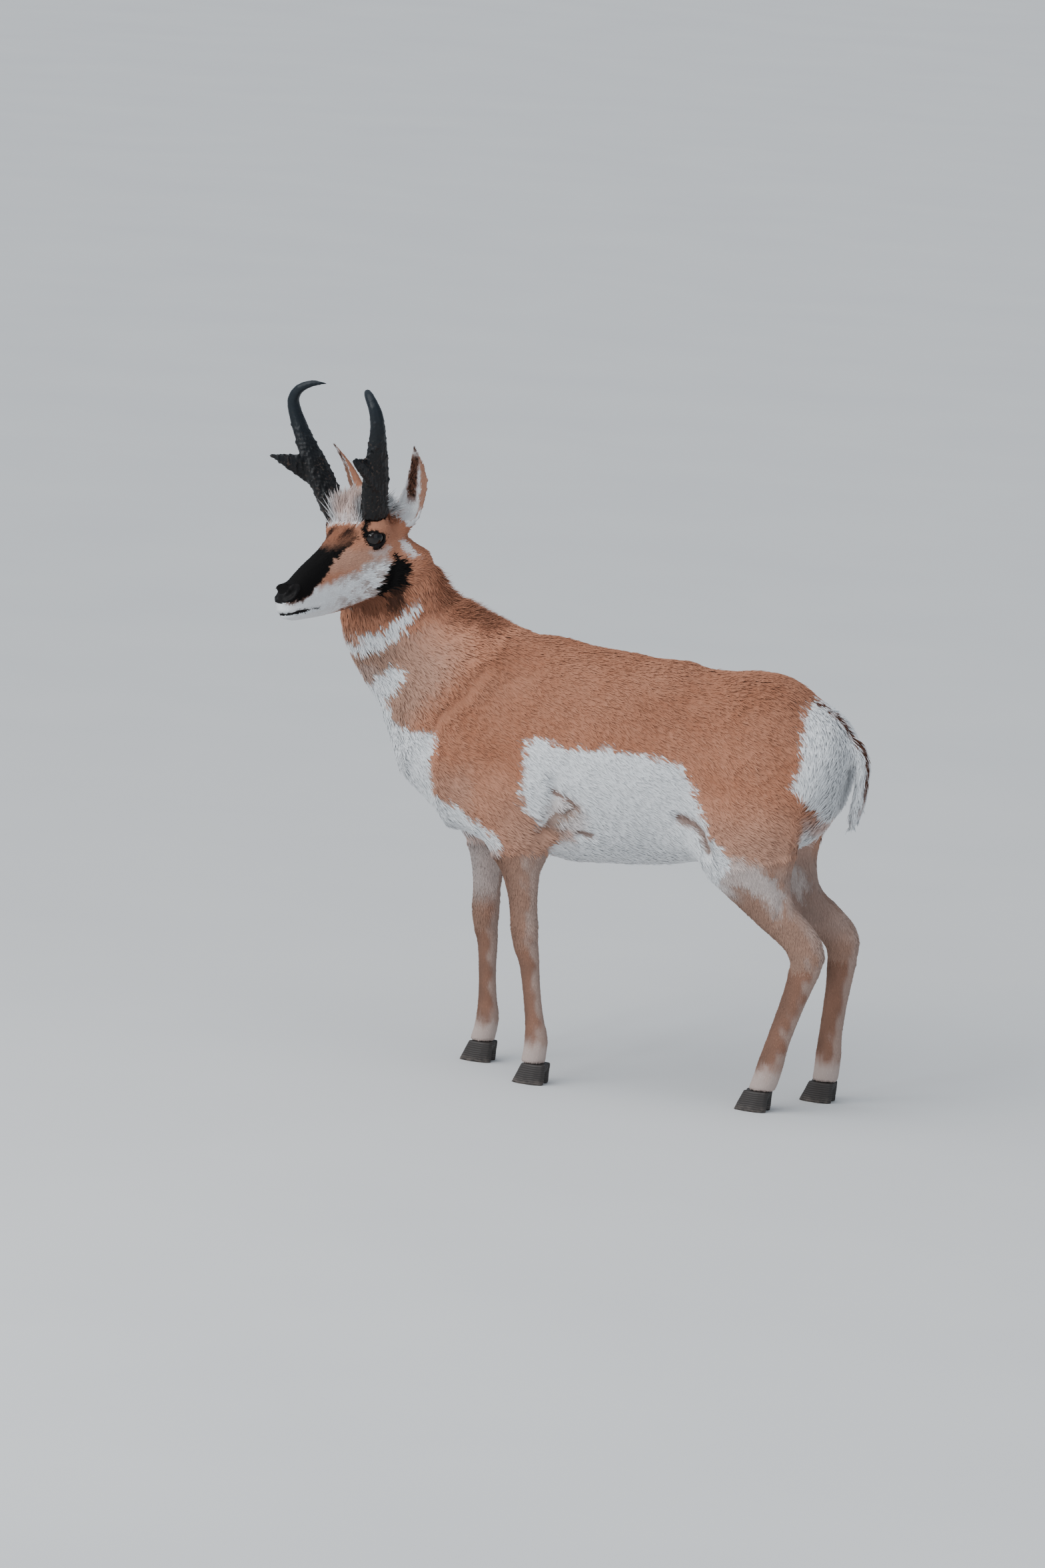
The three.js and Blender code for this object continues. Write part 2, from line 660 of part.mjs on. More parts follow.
// One flat, tapered lock, from its root along a way that bends towards its lie.
function lockSolid(root, out, lie, length, width) {
  const steps = 3;
  const across = V(0, 0, 0).crossVectors(out, lie).normalize();
  const rings = Array.from({ length: steps + 1 }, (_, i) => {
    const t = i / steps;
    const at = root
      .clone()
      .addScaledVector(out, length * (0.95 * t - 0.32 * t * t) - 9 * (1 - t))
      .addScaledVector(lie, length * 0.62 * t * t);
    const half = (width / 2) * (1 - 0.86 * t ** 1.4);
    const thick = 2.2 * (1 - 0.72 * t);
    return [
      at.clone().addScaledVector(across, half),
      at.clone().addScaledVector(lie, thick),
      at.clone().addScaledVector(across, -half),
      at.clone().addScaledVector(lie, -thick),
    ];
  });
  return ringSolid(rings);
}

// A seeded draw between 0 and 1.
function drawer(seed) {
  let state = seed;
  return () => {
    state = (state * 1664525 + 1013904223) % 4294967296;
    return state / 4294967296;
  };
}

function maneLocks(neckDepth) {
  const draw = drawer(31);
  const locks = [];
  const count = 17;
  for (let i = 0; i < count; i++) {
    const t = lerp(0.84, 0.3, i / (count - 1));
    const frame = neckSweep.frameAt(t);
    for (const shift of [-0.1, 0.1]) {
      const way = frame.above.clone().multiplyScalar(Math.cos(shift)).addScaledVector(frame.beside, Math.sin(shift));
      let r = 20;
      while (neckDepth(frame.at.clone().addScaledVector(way, r)) < 0 && r < 260) r += 1;
      const root = frame.at.clone().addScaledVector(way, r);
      const back = frame.along.clone().multiplyScalar(-1);
      const low = 1 - t;
      const length = lerp(17, 40, Math.min(low * 1.5, 1) ** 2) * (0.85 + 0.3 * draw());
      locks.push(lockSolid(root, way, back, length, 11 + 4 * draw()));
    }
  }
  return locks;
}

// Parting cuts

// A large block on one side of a plane, which it keeps off by half a gap or another distance.
function halfSpace(point, way, off = GAP / 2) {
  const size = 3000;
  const block = new THREE.BoxGeometry(size, size, size);
  block.translate(0, 0, size / 2 + off);
  block.applyQuaternion(new THREE.Quaternion().setFromUnitVectors(V(0, 0, 1), way.clone().normalize()));
  block.translate(point.x, point.y, point.z);
  block.deleteAttribute("normal");
  block.deleteAttribute("uv");
  return solidOf(block);
}

// The whole animal

const root = new THREE.Group();

function addNode(name, solid, color, roughness) {
  const material = new THREE.MeshStandardMaterial({ color, roughness, metalness: 0 });
  const mesh = new THREE.Mesh(geometryOf(largest(solid)), material);
  mesh.name = name;
  root.add(mesh);
}

const COAT = 0xb0714a;
const PALE = 0xe6e2dc;
const KERATIN = 0x1d1b1c;

// Flesh, before it is parted

const trunkSolid = ringSolid(castRings(trunkSweep, trunkDepth, 30, 28, { stretch: 1.5 }));
const neckDepth = (p) => blend(neckSweep.depth(p), trunkDepth(p) + SINK, 80);
const neckSolid = ringSolid(castRings(neckSweep, neckDepth, 15, 24, { stretch: 1.3 }));
const headCore = ringSolid(castRings(headSweep, headDepth, 30, 24, { stretch: 1.7 }));
const tailSweep = new Sweep(TAIL, V(1, 0, 0.4));
const tailSolid = (grow) =>
  ringSolid(castRings(tailSweep, (p) => tailSweep.depth(p), 13, 12, { grow }));
const tailWhole = tailSolid(0);

// Planes that part the flesh. Each node keeps one side of its planes.
const PLANES = {
  nape: [V(-392, -62, 936), V(-0.42, -0.25, 0.87)],
  collar: [V(-262, 0, 716), V(-0.78, 0, 0.62)],
  elbow: [V(-110, 0, 446), V(0.1, 0, -1)],
  stifle: [V(352, 0, 470), V(0.3, 0, -0.95)],
  knee: [V(-110, 0, 262), V(0, 0, -1)],
  hock: [V(500, 0, 282), V(0, 0, -1)],
  coronet: [V(0, 0, CORONET), V(0, 0, -1)],
  dock: [V(528, 0, 722), V(0.8, 0, -0.3)],
};
const beyond = (solid, name, off) => solid.intersect(halfSpace(...PLANES[name], off));
const before = (solid, name, off) => {
  const [point, way] = PLANES[name];
  return solid.intersect(halfSpace(point, way.clone().negate(), off));
};

const cuts = joined([mouthCut(), nostrilCut(1), nostrilCut(-1)]);
const headFlesh = onHead(joined([headCore, lids(1), lids(-1)]).subtract(cuts));
const front = joined([trunkSolid, neckSolid, headFlesh]);
const horns = {};
const eyes = {};
const ears = {};
for (const [name, side] of Object.entries(HEAD_SIDE)) {
  horns[name] = onHead(hornSolid(side));
  eyes[name] = onHead(eyeball(side));
  ears[name] = onHead(earSolid(side, EAR_WAYS[name].lean, EAR_WAYS[name].facing));
}

// The torso, with the roots of the legs

let torso = before(front, "collar");
for (const [name, leg] of Object.entries(LEGS)) {
  leg.solid = legSolid(leg);
  leg.top = leg.hock ? "stifle" : "elbow";
  leg.middle = leg.hock ? "hock" : "knee";
  leg.name = name;
  torso = torso.add(before(leg.solid, leg.top));
}
const limbs = Object.values(LEGS).map((leg) => beyond(legSolid(leg, 2 * GAP), leg.top, -GAP / 2));
const torsoBare = torso
  .add(before(tailWhole, "dock"))
  .subtract(beyond(tailSolid(GAP), "dock", -GAP / 2))
  .subtract(joined(limbs));
const neckBare = before(beyond(front, "collar"), "nape");
// Only locks that lie wholly between the neck's two planes are kept.
const mane = maneLocks(neckDepth).filter(
  (lock) => before(beyond(lock, "collar", 2), "nape", 2).volume() > 0.9999 * lock.volume(),
);
const headBare = Object.entries(HEAD_SIDE).reduce(
  (all, [name, side]) =>
    all
      .subtract(onHead(earSolid(side, EAR_WAYS[name].lean, EAR_WAYS[name].facing, 2 * GAP)))
      .subtract(onHead(hornSolid(side, 2 * GAP)))
      .subtract(onHead(eyeball(side, GAP))),
  beyond(beyond(front, "nape"), "collar"),
);

// Nodes

addNode("torso", torsoBare, COAT, 0.9);
addNode("neck", joined([neckBare, ...mane]), COAT, 0.9);
addNode("head", headBare, COAT, 0.9);
addNode("tail", beyond(tailWhole, "dock"), PALE, 0.9);
for (const name of Object.keys(HEAD_SIDE)) {
  addNode("ear_" + name, ears[name], COAT, 0.9);
  addNode("horn_" + name, horns[name], KERATIN, 0.5);
  addNode("eye_" + name, eyes[name], 0x0a0807, 0.1);
}
for (const leg of Object.values(LEGS)) {
  const lower = beyond(leg.solid, leg.top);
  addNode(leg.name + "_upper", before(lower, leg.middle), COAT, 0.9);
  addNode(leg.name + "_shin", before(beyond(lower, leg.middle), "coronet"), COAT, 0.9);
  addNode(leg.name + "_hoof", beyond(hoofSolid(leg), "coronet"), KERATIN, 0.6);
}

// The animal stands in the middle of its own box, with the soles at zero.
const box = new THREE.Box3().setFromObject(root);
const middle = box.getCenter(V(0, 0, 0));
root.children.forEach((mesh) => mesh.geometry.translate(-middle.x, -middle.y, 0));

export default root;
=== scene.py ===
"""A pronghorn buck as a still museum model: skin, coat, mane, eyes, horns, hooves and a plain studio."""

from __future__ import annotations

import json
import logging
import math
from collections.abc import Callable
from dataclasses import dataclass, field
from enum import Enum

import bmesh
import bpy
import numpy as np
from mathutils import Matrix, Vector
from mathutils.bvhtree import BVHTree

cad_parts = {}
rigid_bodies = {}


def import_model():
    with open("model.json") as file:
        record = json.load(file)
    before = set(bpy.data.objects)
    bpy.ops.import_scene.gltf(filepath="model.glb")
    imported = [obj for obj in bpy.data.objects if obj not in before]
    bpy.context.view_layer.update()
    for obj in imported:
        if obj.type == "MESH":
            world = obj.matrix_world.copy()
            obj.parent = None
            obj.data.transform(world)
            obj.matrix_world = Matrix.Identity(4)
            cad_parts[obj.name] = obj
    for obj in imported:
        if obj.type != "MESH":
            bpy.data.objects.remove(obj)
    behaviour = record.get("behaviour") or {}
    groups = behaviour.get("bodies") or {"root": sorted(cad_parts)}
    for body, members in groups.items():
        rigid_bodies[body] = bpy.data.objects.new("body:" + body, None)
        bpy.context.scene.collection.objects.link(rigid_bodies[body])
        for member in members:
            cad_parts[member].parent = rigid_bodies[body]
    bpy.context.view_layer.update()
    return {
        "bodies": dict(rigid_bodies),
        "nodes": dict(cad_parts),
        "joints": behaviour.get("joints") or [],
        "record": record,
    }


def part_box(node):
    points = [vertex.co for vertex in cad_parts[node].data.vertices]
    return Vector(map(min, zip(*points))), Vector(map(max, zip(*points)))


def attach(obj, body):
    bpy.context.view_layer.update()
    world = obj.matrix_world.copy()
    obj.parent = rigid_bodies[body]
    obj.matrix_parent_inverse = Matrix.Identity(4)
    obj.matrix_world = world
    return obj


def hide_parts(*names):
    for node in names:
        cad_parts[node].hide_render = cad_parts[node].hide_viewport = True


LOG = logging.getLogger("pronghorn")
BODY = "root"
MM = 0.001
UV_MAP = "OFBake"
MIX_SHARE, MIX_FIRST, MIX_SECOND = 0, 6, 7  # a Mix node's inputs where it mixes colours
MIX_COLOUR = 2  # its output there
SAME_PLACE = 1e-5  # metres within which two corners of a node's triangles are one
ROW_LIMIT = 31000  # tufts in one coat piece, which keeps it under 200,000 triangles


class Part(Enum):
    """The regions of the hide, by the part of the frame that lies nearest."""

    TORSO = 0
    NECK = 1
    HEAD = 2
    TAIL = 3
    EAR_LEFT = 4
    EAR_RIGHT = 5
    UPPER = 6
    SHIN = 7


HIDE_NODES = {
    "torso": Part.TORSO,
    "neck": Part.NECK,
    "head": Part.HEAD,
    "tail": Part.TAIL,
    "ear_left": Part.EAR_LEFT,
    "ear_right": Part.EAR_RIGHT,
    "fore_left_upper": Part.UPPER,
    "fore_right_upper": Part.UPPER,
    "hind_left_upper": Part.UPPER,
    "hind_right_upper": Part.UPPER,
    "fore_left_shin": Part.SHIN,
    "fore_right_shin": Part.SHIN,
    "hind_left_shin": Part.SHIN,
    "hind_right_shin": Part.SHIN,
}
SIDES = {"left": 1, "right": -1}


def unit(vectors: np.ndarray) -> np.ndarray:
    """Rows scaled to length one."""
    return vectors / np.maximum(np.linalg.norm(vectors, axis=-1, keepdims=True), 1e-9)


def dot(a: np.ndarray, b: np.ndarray) -> np.ndarray:
    """The dot product of each row."""
    return (a * b).sum(-1)


def mirrored(places: np.ndarray) -> np.ndarray:
    """Places with the far side folded onto the left one."""
    return np.stack([places[:, 0], np.abs(places[:, 1]), places[:, 2]], 1)


def on_side(place: tuple, side: int) -> np.ndarray:
    """A place of the left side, on the side asked for: 1 is left and -1 is right."""
    return np.array(place) * (1, side, 1)


def flattened(ways: np.ndarray, normals: np.ndarray) -> np.ndarray:
    """Directions laid on the surface that has these normals."""
    return unit(ways - dot(ways, normals)[:, None] * normals)


def among(parts: np.ndarray, *regions: Part) -> np.ndarray:
    """Which places lie in any of these regions."""
    return np.isin(parts, [region.value for region in regions])


def by_region(table: dict[Part, float], parts: np.ndarray) -> np.ndarray:
    """The number that a table gives to the region of each place."""
    return np.array([table[part] for part in Part], float)[parts]


def step(low: float, high: float, values: np.ndarray) -> np.ndarray:
    """A smooth rise from 0 at low to 1 at high, or a fall where low is the larger."""
    t = np.clip((values - low) / (high - low), 0, 1)
    return t * t * (3 - 2 * t)


def ripple(points: np.ndarray, size: float, seed: int, waves: int = 9) -> np.ndarray:
    """A smooth uneven value about zero.

    Args:
        points: Places in millimetres.
        size: The usual width of one swell.
        seed: Which pattern.
        waves: How many waves are laid over one another.

    Returns:
        One value a place, mostly between -1 and 1.
    """
    draw = np.random.default_rng(seed)
    ways = unit(draw.normal(size=(waves, 3))) * (2 * math.pi / size)
    ways *= draw.uniform(0.55, 1.6, (waves, 1))
    return np.sin(points @ ways.T + draw.uniform(0, 7, waves)).sum(1) * math.sqrt(2 / waves) * 0.7


def wander(points: np.ndarray, size: float, seeds: tuple[int, int, int]) -> np.ndarray:
    """An uneven shift in all three directions, from one ripple each."""
    return np.stack([ripple(points, size, seed) for seed in seeds], 1)


def gap(points: np.ndarray, a: np.ndarray, b: np.ndarray) -> np.ndarray:
    """How far each point lies from the straight line between two ends.

    Args:
        points: Flat points or points in space, one a row.
        a: One end.
        b: The other end.

    Returns:
        One distance a point.
    """
    edge = b - a
    share = np.clip(((points - a) @ edge) / (edge @ edge), 0, 1)
    return np.linalg.norm(points - a - share[:, None] * edge, axis=1)


def from_path(points: np.ndarray, path: tuple) -> np.ndarray:
    """How far each point lies from a path, flat or in space."""
    line = np.array(path, float)
    return np.minimum.reduce([gap(points, a, b) for a, b in zip(line, line[1:])])


def outside(points: np.ndarray, corners: tuple) -> np.ndarray:
    """How far each flat point lies outside a closed outline, less than zero inside it.

    Args:
        points: Flat points, one a row.
        corners: The outline's corners in order.

    Returns:
        The signed distance of each point.
    """
    ring = np.array(corners, float)
    nearest = np.full(len(points), np.inf)
    within = np.zeros(len(points), bool)
    for a, b in zip(ring, np.roll(ring, -1, 0)):
        nearest = np.minimum(nearest, gap(points, a, b))
        if a[1] != b[1]:
            run, rise = b - a
            crosses = (a[1] > points[:, 1]) != (b[1] > points[:, 1])
            within ^= crosses & (points[:, 0] < a[0] + (points[:, 1] - a[1]) * run / rise)
    return np.where(within, -nearest, nearest)


def deselect() -> None:
    """Leaves nothing selected."""
    for thing in bpy.context.selected_objects:
        thing.select_set(False)


def activate(thing: bpy.types.Object) -> None:
    """Selects one object alone and makes it active.

    Args:
        thing: The object.
    """
    deselect()
    thing.select_set(True)
    bpy.context.view_layer.objects.active = thing


def add_object(name: str, data: bpy.types.ID) -> bpy.types.Object:
    """Puts a new object into the scene.

    Args:
        name: Its name.
        data: Its mesh, light or lens.

    Returns:
        The new object.
    """
    thing = bpy.data.objects.new(name, data)
    bpy.context.scene.collection.objects.link(thing)
    return thing


def edit_whole(thing: bpy.types.Object, operator: Callable, **settings: object) -> None:
    """Applies an operator of edit mode to the whole of an object.

    Args:
        thing: The object.
        operator: The operator.
        **settings: Its settings.
    """
    activate(thing)
    bpy.ops.object.mode_set(mode="EDIT")
    bpy.ops.mesh.select_all(action="SELECT")
    operator(**settings)
    bpy.ops.object.mode_set(mode="OBJECT")


def shade_round(mesh: bpy.types.Mesh) -> None:
    """Has every face of a mesh shaded as one round surface."""
    mesh.polygons.foreach_set("use_smooth", np.ones(len(mesh.polygons), bool))


def read(items: bpy.types.bpy_prop_collection, field_name: str, width: int, kind: type) -> np.ndarray:
    """Reads one property of many parts of a mesh.

    Args:
        items: The vertices, edges, loops or layer that has the property.
        field_name: The property's name.
        width: How many numbers each has.
        kind: The kind of number that Blender keeps.

    Returns:
        One row a part.
    """
    values = np.empty(len(items) * width, kind)
    items.foreach_get(field_name, values)
    return values.reshape(-1, width)


def vertices(thing: bpy.types.Object) -> np.ndarray:
    """The places of an object's vertices, in metres."""
    return read(thing.data.vertices, "co", 3, np.float32).astype(float)


def set_vertices(thing: bpy.types.Object, places: np.ndarray) -> None:
    """Moves an object's vertices to new places."""
    thing.data.vertices.foreach_set("co", places.astype(np.float32).ravel())
    thing.data.update()


def vertex_normals(thing: bpy.types.Object) -> np.ndarray:
    """The way each vertex of an object faces."""
    return read(thing.data.vertices, "normal", 3, np.float32).astype(float)


def edge_pairs(thing: bpy.types.Object) -> np.ndarray:
    """The two vertices of each edge."""
    return read(thing.data.edges, "vertices", 2, np.int32)


def relax(
    values: np.ndarray, pairs: np.ndarray, weight: np.ndarray | float, rounds: int
) -> np.ndarray:
    """Draws each value towards the middle of its neighbours'.

    Args:
        values: One row a vertex.
        pairs: The edges between them.
        weight: How far each goes in one round, from 0 to 1.
        rounds: How many rounds.

    Returns:
        The smoothed values.
    """
    count = np.maximum(np.bincount(pairs.ravel(), minlength=len(values)), 1)[:, None]
    weight = np.broadcast_to(weight, len(values))[:, None]
    a, b = pairs.T
    for _ in range(rounds):
        total = np.stack(
            [
                np.bincount(a, column[b], len(values)) + np.bincount(b, column[a], len(values))
                for column in values.T
            ],
            1,
        )
        values = values + weight * (total / count - values)
    return values


def add_marks(mesh: bpy.types.Mesh, name: str, values: np.ndarray) -> None:
    """Stores four numbers a vertex as a named colour attribute."""
    layer = mesh.attributes.new(name, "FLOAT_COLOR", "POINT")
    layer.data.foreach_set("color", values.astype(np.float32).ravel())


def mesh_of(name: str, points: np.ndarray, faces: np.ndarray) -> bpy.types.Object:
    """Makes an object of triangles or quads from arrays.

    Args:
        name: The piece's name.
        points: The vertices, in metres.
        faces: One row of vertex numbers a face.

    Returns:
        The new object, in the scene.
    """
    corners = faces.shape[1]
    mesh = bpy.data.meshes.new(name)
    mesh.vertices.add(len(points))
    mesh.vertices.foreach_set("co", points.astype(np.float32).ravel())
    mesh.loops.add(faces.size)
    mesh.loops.foreach_set("vertex_index", faces.astype(np.int32).ravel())
    mesh.polygons.add(len(faces))
    mesh.polygons.foreach_set("loop_start", np.arange(len(faces), dtype=np.int32) * corners)
    shade_round(mesh)
    mesh.update(calc_edges=True)
    return add_object(name, mesh)


def merged_copy(
    frame: dict, name: str, nodes: dict[str, float], held: "Anatomy | None" = None
) -> bpy.types.Object:
    """Copies frame nodes into one new object, with their loose triangles merged.

    Args:
        frame: The loaded frame.
        name: The new piece's name.
        nodes: The nodes that are copied, and how far each copy is grown, in metres.
        held: The frames that say how the ears are bent, if they are.

    Returns:
        The new object.
    """
    pieces = []
    for node, swell in nodes.items():
        mesh = frame["nodes"][node].data.copy()
        mesh.materials.clear()
        shape = bmesh.new()
        shape.from_mesh(mesh)
        bmesh.ops.remove_doubles(shape, verts=shape.verts[:], dist=SAME_PLACE)
        shape.normal_update()
        for corner in shape.verts:
            corner.co += corner.normal * swell
        shape.to_mesh(mesh)
        shape.free()
        piece = add_object(name, mesh)
        if held:
            set_vertices(piece, held.bent(node, vertices(piece)))
        pieces.append(piece)
    deselect()
    for piece in pieces:
        piece.select_set(True)
    bpy.context.view_layer.objects.active = pieces[0]
    if len(pieces) > 1:
        bpy.ops.object.join()
    return bpy.context.view_layer.objects.active


def apply_remesh(thing: bpy.types.Object, size: float) -> None:
    """Rebuilds a closed shape from cubes of one size.

    Args:
        thing: The object.
        size: A cube's side, in metres.
    """
    activate(thing)
    remesh = thing.modifiers.new("even", "REMESH")
    remesh.mode = "VOXEL"
    remesh.voxel_size = size
    bpy.ops.object.modifier_apply(modifier=remesh.name)


def drop_scraps(thing: bpy.types.Object) -> None:
    """Keeps only the largest loose part of a mesh.

    Args:
        thing: The object.
    """
    pairs = edge_pairs(thing)
    group = np.arange(len(thing.data.vertices))
    while True:
        lowest = np.minimum(group[pairs[:, 0]], group[pairs[:, 1]])
        fresh = group.copy()
        np.minimum.at(fresh, pairs[:, 0], lowest)
        np.minimum.at(fresh, pairs[:, 1], lowest)
        fresh = fresh[fresh]
        if (fresh == group).all():
            break
        group = fresh
    main = np.bincount(group).argmax()
    shape = bmesh.new()
    shape.from_mesh(thing.data)
    shape.verts.ensure_lookup_table()
    scraps = [shape.verts[i] for i in np.flatnonzero(group != main)]
    bmesh.ops.delete(shape, geom=scraps, context="VERTS")
    shape.to_mesh(thing.data)
    shape.free()


@dataclass
class Anatomy:
    """The animal's own frames: the body's, the neck's and the head's.

    Places are millimetres. The body's frame has the animal facing towards less x, its left towards less
    y and the floor at 0, and the head's runs forward, left and up from the poll. The head's turn, nod
    and tilt are degrees, and an ear's bend is full from ear_held of its length upwards.
    """

    hoof_front: float = -71.0
    hoof_middle: float = -78.0
    poll: tuple = (-394.0, -45.0, 1028.0)
    turn: float = 62.0
    nod: float = 14.0
    tilt: float = 7.0
    eye: tuple = (84.0, 44.0, 22.0)
    eye_radius: float = 24.0
    horn_root: tuple = (73.0, 58.0, 72.0)
    ear_root: tuple = (-8.0, 52.0, 41.0)
    ear_length: float = 130.0
    ear_held: float = 0.45
    ear_lean: dict = field(
        default_factory=lambda: {"left": (-0.28, 0.14, 0.94), "right": (0.02, -0.27, 0.95)}
    )
    ear_facing: dict = field(
        default_factory=lambda: {"left": (0.62, 0.78, 0.0), "right": (0.86, -0.5, 0.0)}
    )
    ear_bend: dict = field(
        default_factory=lambda: {"left": (0.0, 0.0, 0.0), "right": (-21.0, -5.0, 11.0)}
    )
    neck_line: tuple = (
        (-226, 0, 716),
        (-316, 0, 790),
        (-358, -12, 830),
        (-376, -30, 876),
        (-380, -54, 928),
        (-388, -66, 978),
        (-396, -76, 1012),
    )

    def __post_init__(self) -> None:
        """Finds how the body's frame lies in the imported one."""
        low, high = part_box("fore_left_hoof")
        middle = (low.y + high.y) / 2
        self.shift = np.array(
            [self.hoof_front - low.x / MM, self.hoof_middle - middle / MM, 0.0]
        )
        turns = (
            Matrix.Rotation(math.radians(180 + self.turn), 3, "Z")
            @ Matrix.Rotation(math.radians(self.nod), 3, "Y")
            @ Matrix.Rotation(math.radians(self.tilt), 3, "X")
        )
        self.head_axes = np.array(turns)

    def body(self, places: np.ndarray) -> np.ndarray:
        """Packed metres as the body's millimetres."""
        return places / MM + self.shift

    def packed(self, places: np.ndarray) -> np.ndarray:
        """The body's millimetres as packed metres."""
        return (np.asarray(places, float) - self.shift) * MM

    def head(self, places: np.ndarray) -> np.ndarray:
        """Body millimetres as the head's: forward, left and up from the poll."""
        return (places - np.array(self.poll)) @ self.head_axes

    def head_ways(self, ways: np.ndarray) -> np.ndarray:
        """Directions of the body as directions of the head."""
        return ways @ self.head_axes

    def from_head(self, places: np.ndarray) -> np.ndarray:
        """Head millimetres as packed metres."""
        return self.packed(np.asarray(places, float) @ self.head_axes.T + np.array(self.poll))

    def bent(self, node: str, places: np.ndarray) -> np.ndarray:
        """Packed metres of a node's points, with an ear bent as it is held.

        Args:
            node: The node that the points belong to.
            places: Packed metres.

        Returns:
            Packed metres, moved where the node is an ear.
        """
        side = node.removeprefix("ear_")
        if side == node:
            return places
        body = self.body(places)
        share = self.bent_share(side, self.head(body) - on_side(self.ear_root, SIDES[side]))
        return self.packed(body + share * np.array(self.ear_bend[side]))

    def bent_share(self, side: str, off: np.ndarray) -> np.ndarray:
        """How much of its ear's bend each place gets, from 0 at the root to 1.

        Args:
            side: Which ear.
            off: How far places lie from the ear's root, in the head's directions.

        Returns:
            One row a place.
        """
        rise = off @ unit(np.array(self.ear_lean[side])) / self.ear_length
        return step(0.0, self.ear_held, rise)[:, None]

    def way_from_head(self, ways: np.ndarray) -> np.ndarray:
        """Directions of the head as directions of the body."""
        return np.asarray(ways, float) @ self.head_axes.T

    def from_eye(self, head: np.ndarray) -> np.ndarray:
        """How far head millimetres lie from the middle of the eye on their side."""
        return np.linalg.norm(mirrored(head) - np.array(self.eye), axis=1)

    def neck(self, places: np.ndarray) -> tuple[np.ndarray, np.ndarray, np.ndarray]:
        """Places along and round the neck.

        Args:
            places: Body millimetres.

        Returns:
            How far up the neck each lies, the angle from the throat in degrees, and the neck's way.
        """
        line = np.array(self.neck_line, float)
        spans = np.linalg.norm(np.diff(line, axis=0), axis=1)
        begin = np.concatenate([[0], np.cumsum(spans)])
        best = np.full(len(places), np.inf)
        along = np.zeros(len(places))
        middle = np.zeros_like(places)
        way = np.zeros_like(places)
        for i, span in enumerate(spans):
            edge = line[i + 1] - line[i]
            least, most = (-1 if i == 0 else 0), (2 if i == len(spans) - 1 else 1)
            t = np.clip(((places - line[i]) @ edge) / (edge @ edge), least, most)
            spot = line[i] + t[:, None] * edge
            far = np.linalg.norm(places - spot, axis=1)
            nearer = far < best
            best[nearer] = far[nearer]
            along[nearer] = (begin[i] + t * span)[nearer]
            middle[nearer] = spot[nearer]
            way[nearer] = edge / span
        share = np.clip(along / begin[-1], 0, 1)
        turn = np.radians(self.turn * share**1.3)
        front = np.stack([-np.cos(turn), -np.sin(turn), np.zeros_like(turn)], 1)
        front = flattened(front, way)
        out = places - middle
        angle = np.degrees(np.arctan2(dot(out, np.cross(way, front)), dot(out, front)))
        return along, np.abs(angle), way

    def ear(self, side: str, places: np.ndarray) -> tuple[np.ndarray, np.ndarray]:
        """Places on one ear.

        Args:
            side: Which ear.
            places: Head millimetres.

        Returns:
            How far up the ear from 0 to 1, and how far across it.
        """
        lean = unit(np.array(self.ear_lean[side]))
        facing = unit(np.array(self.ear_facing[side]))
        off = places - on_side(self.ear_root, SIDES[side])
        off = off - self.bent_share(side, off) * self.head_ways(np.array(self.ear_bend[side]))
        return off @ lean / self.ear_length, off @ unit(np.cross(lean, facing))


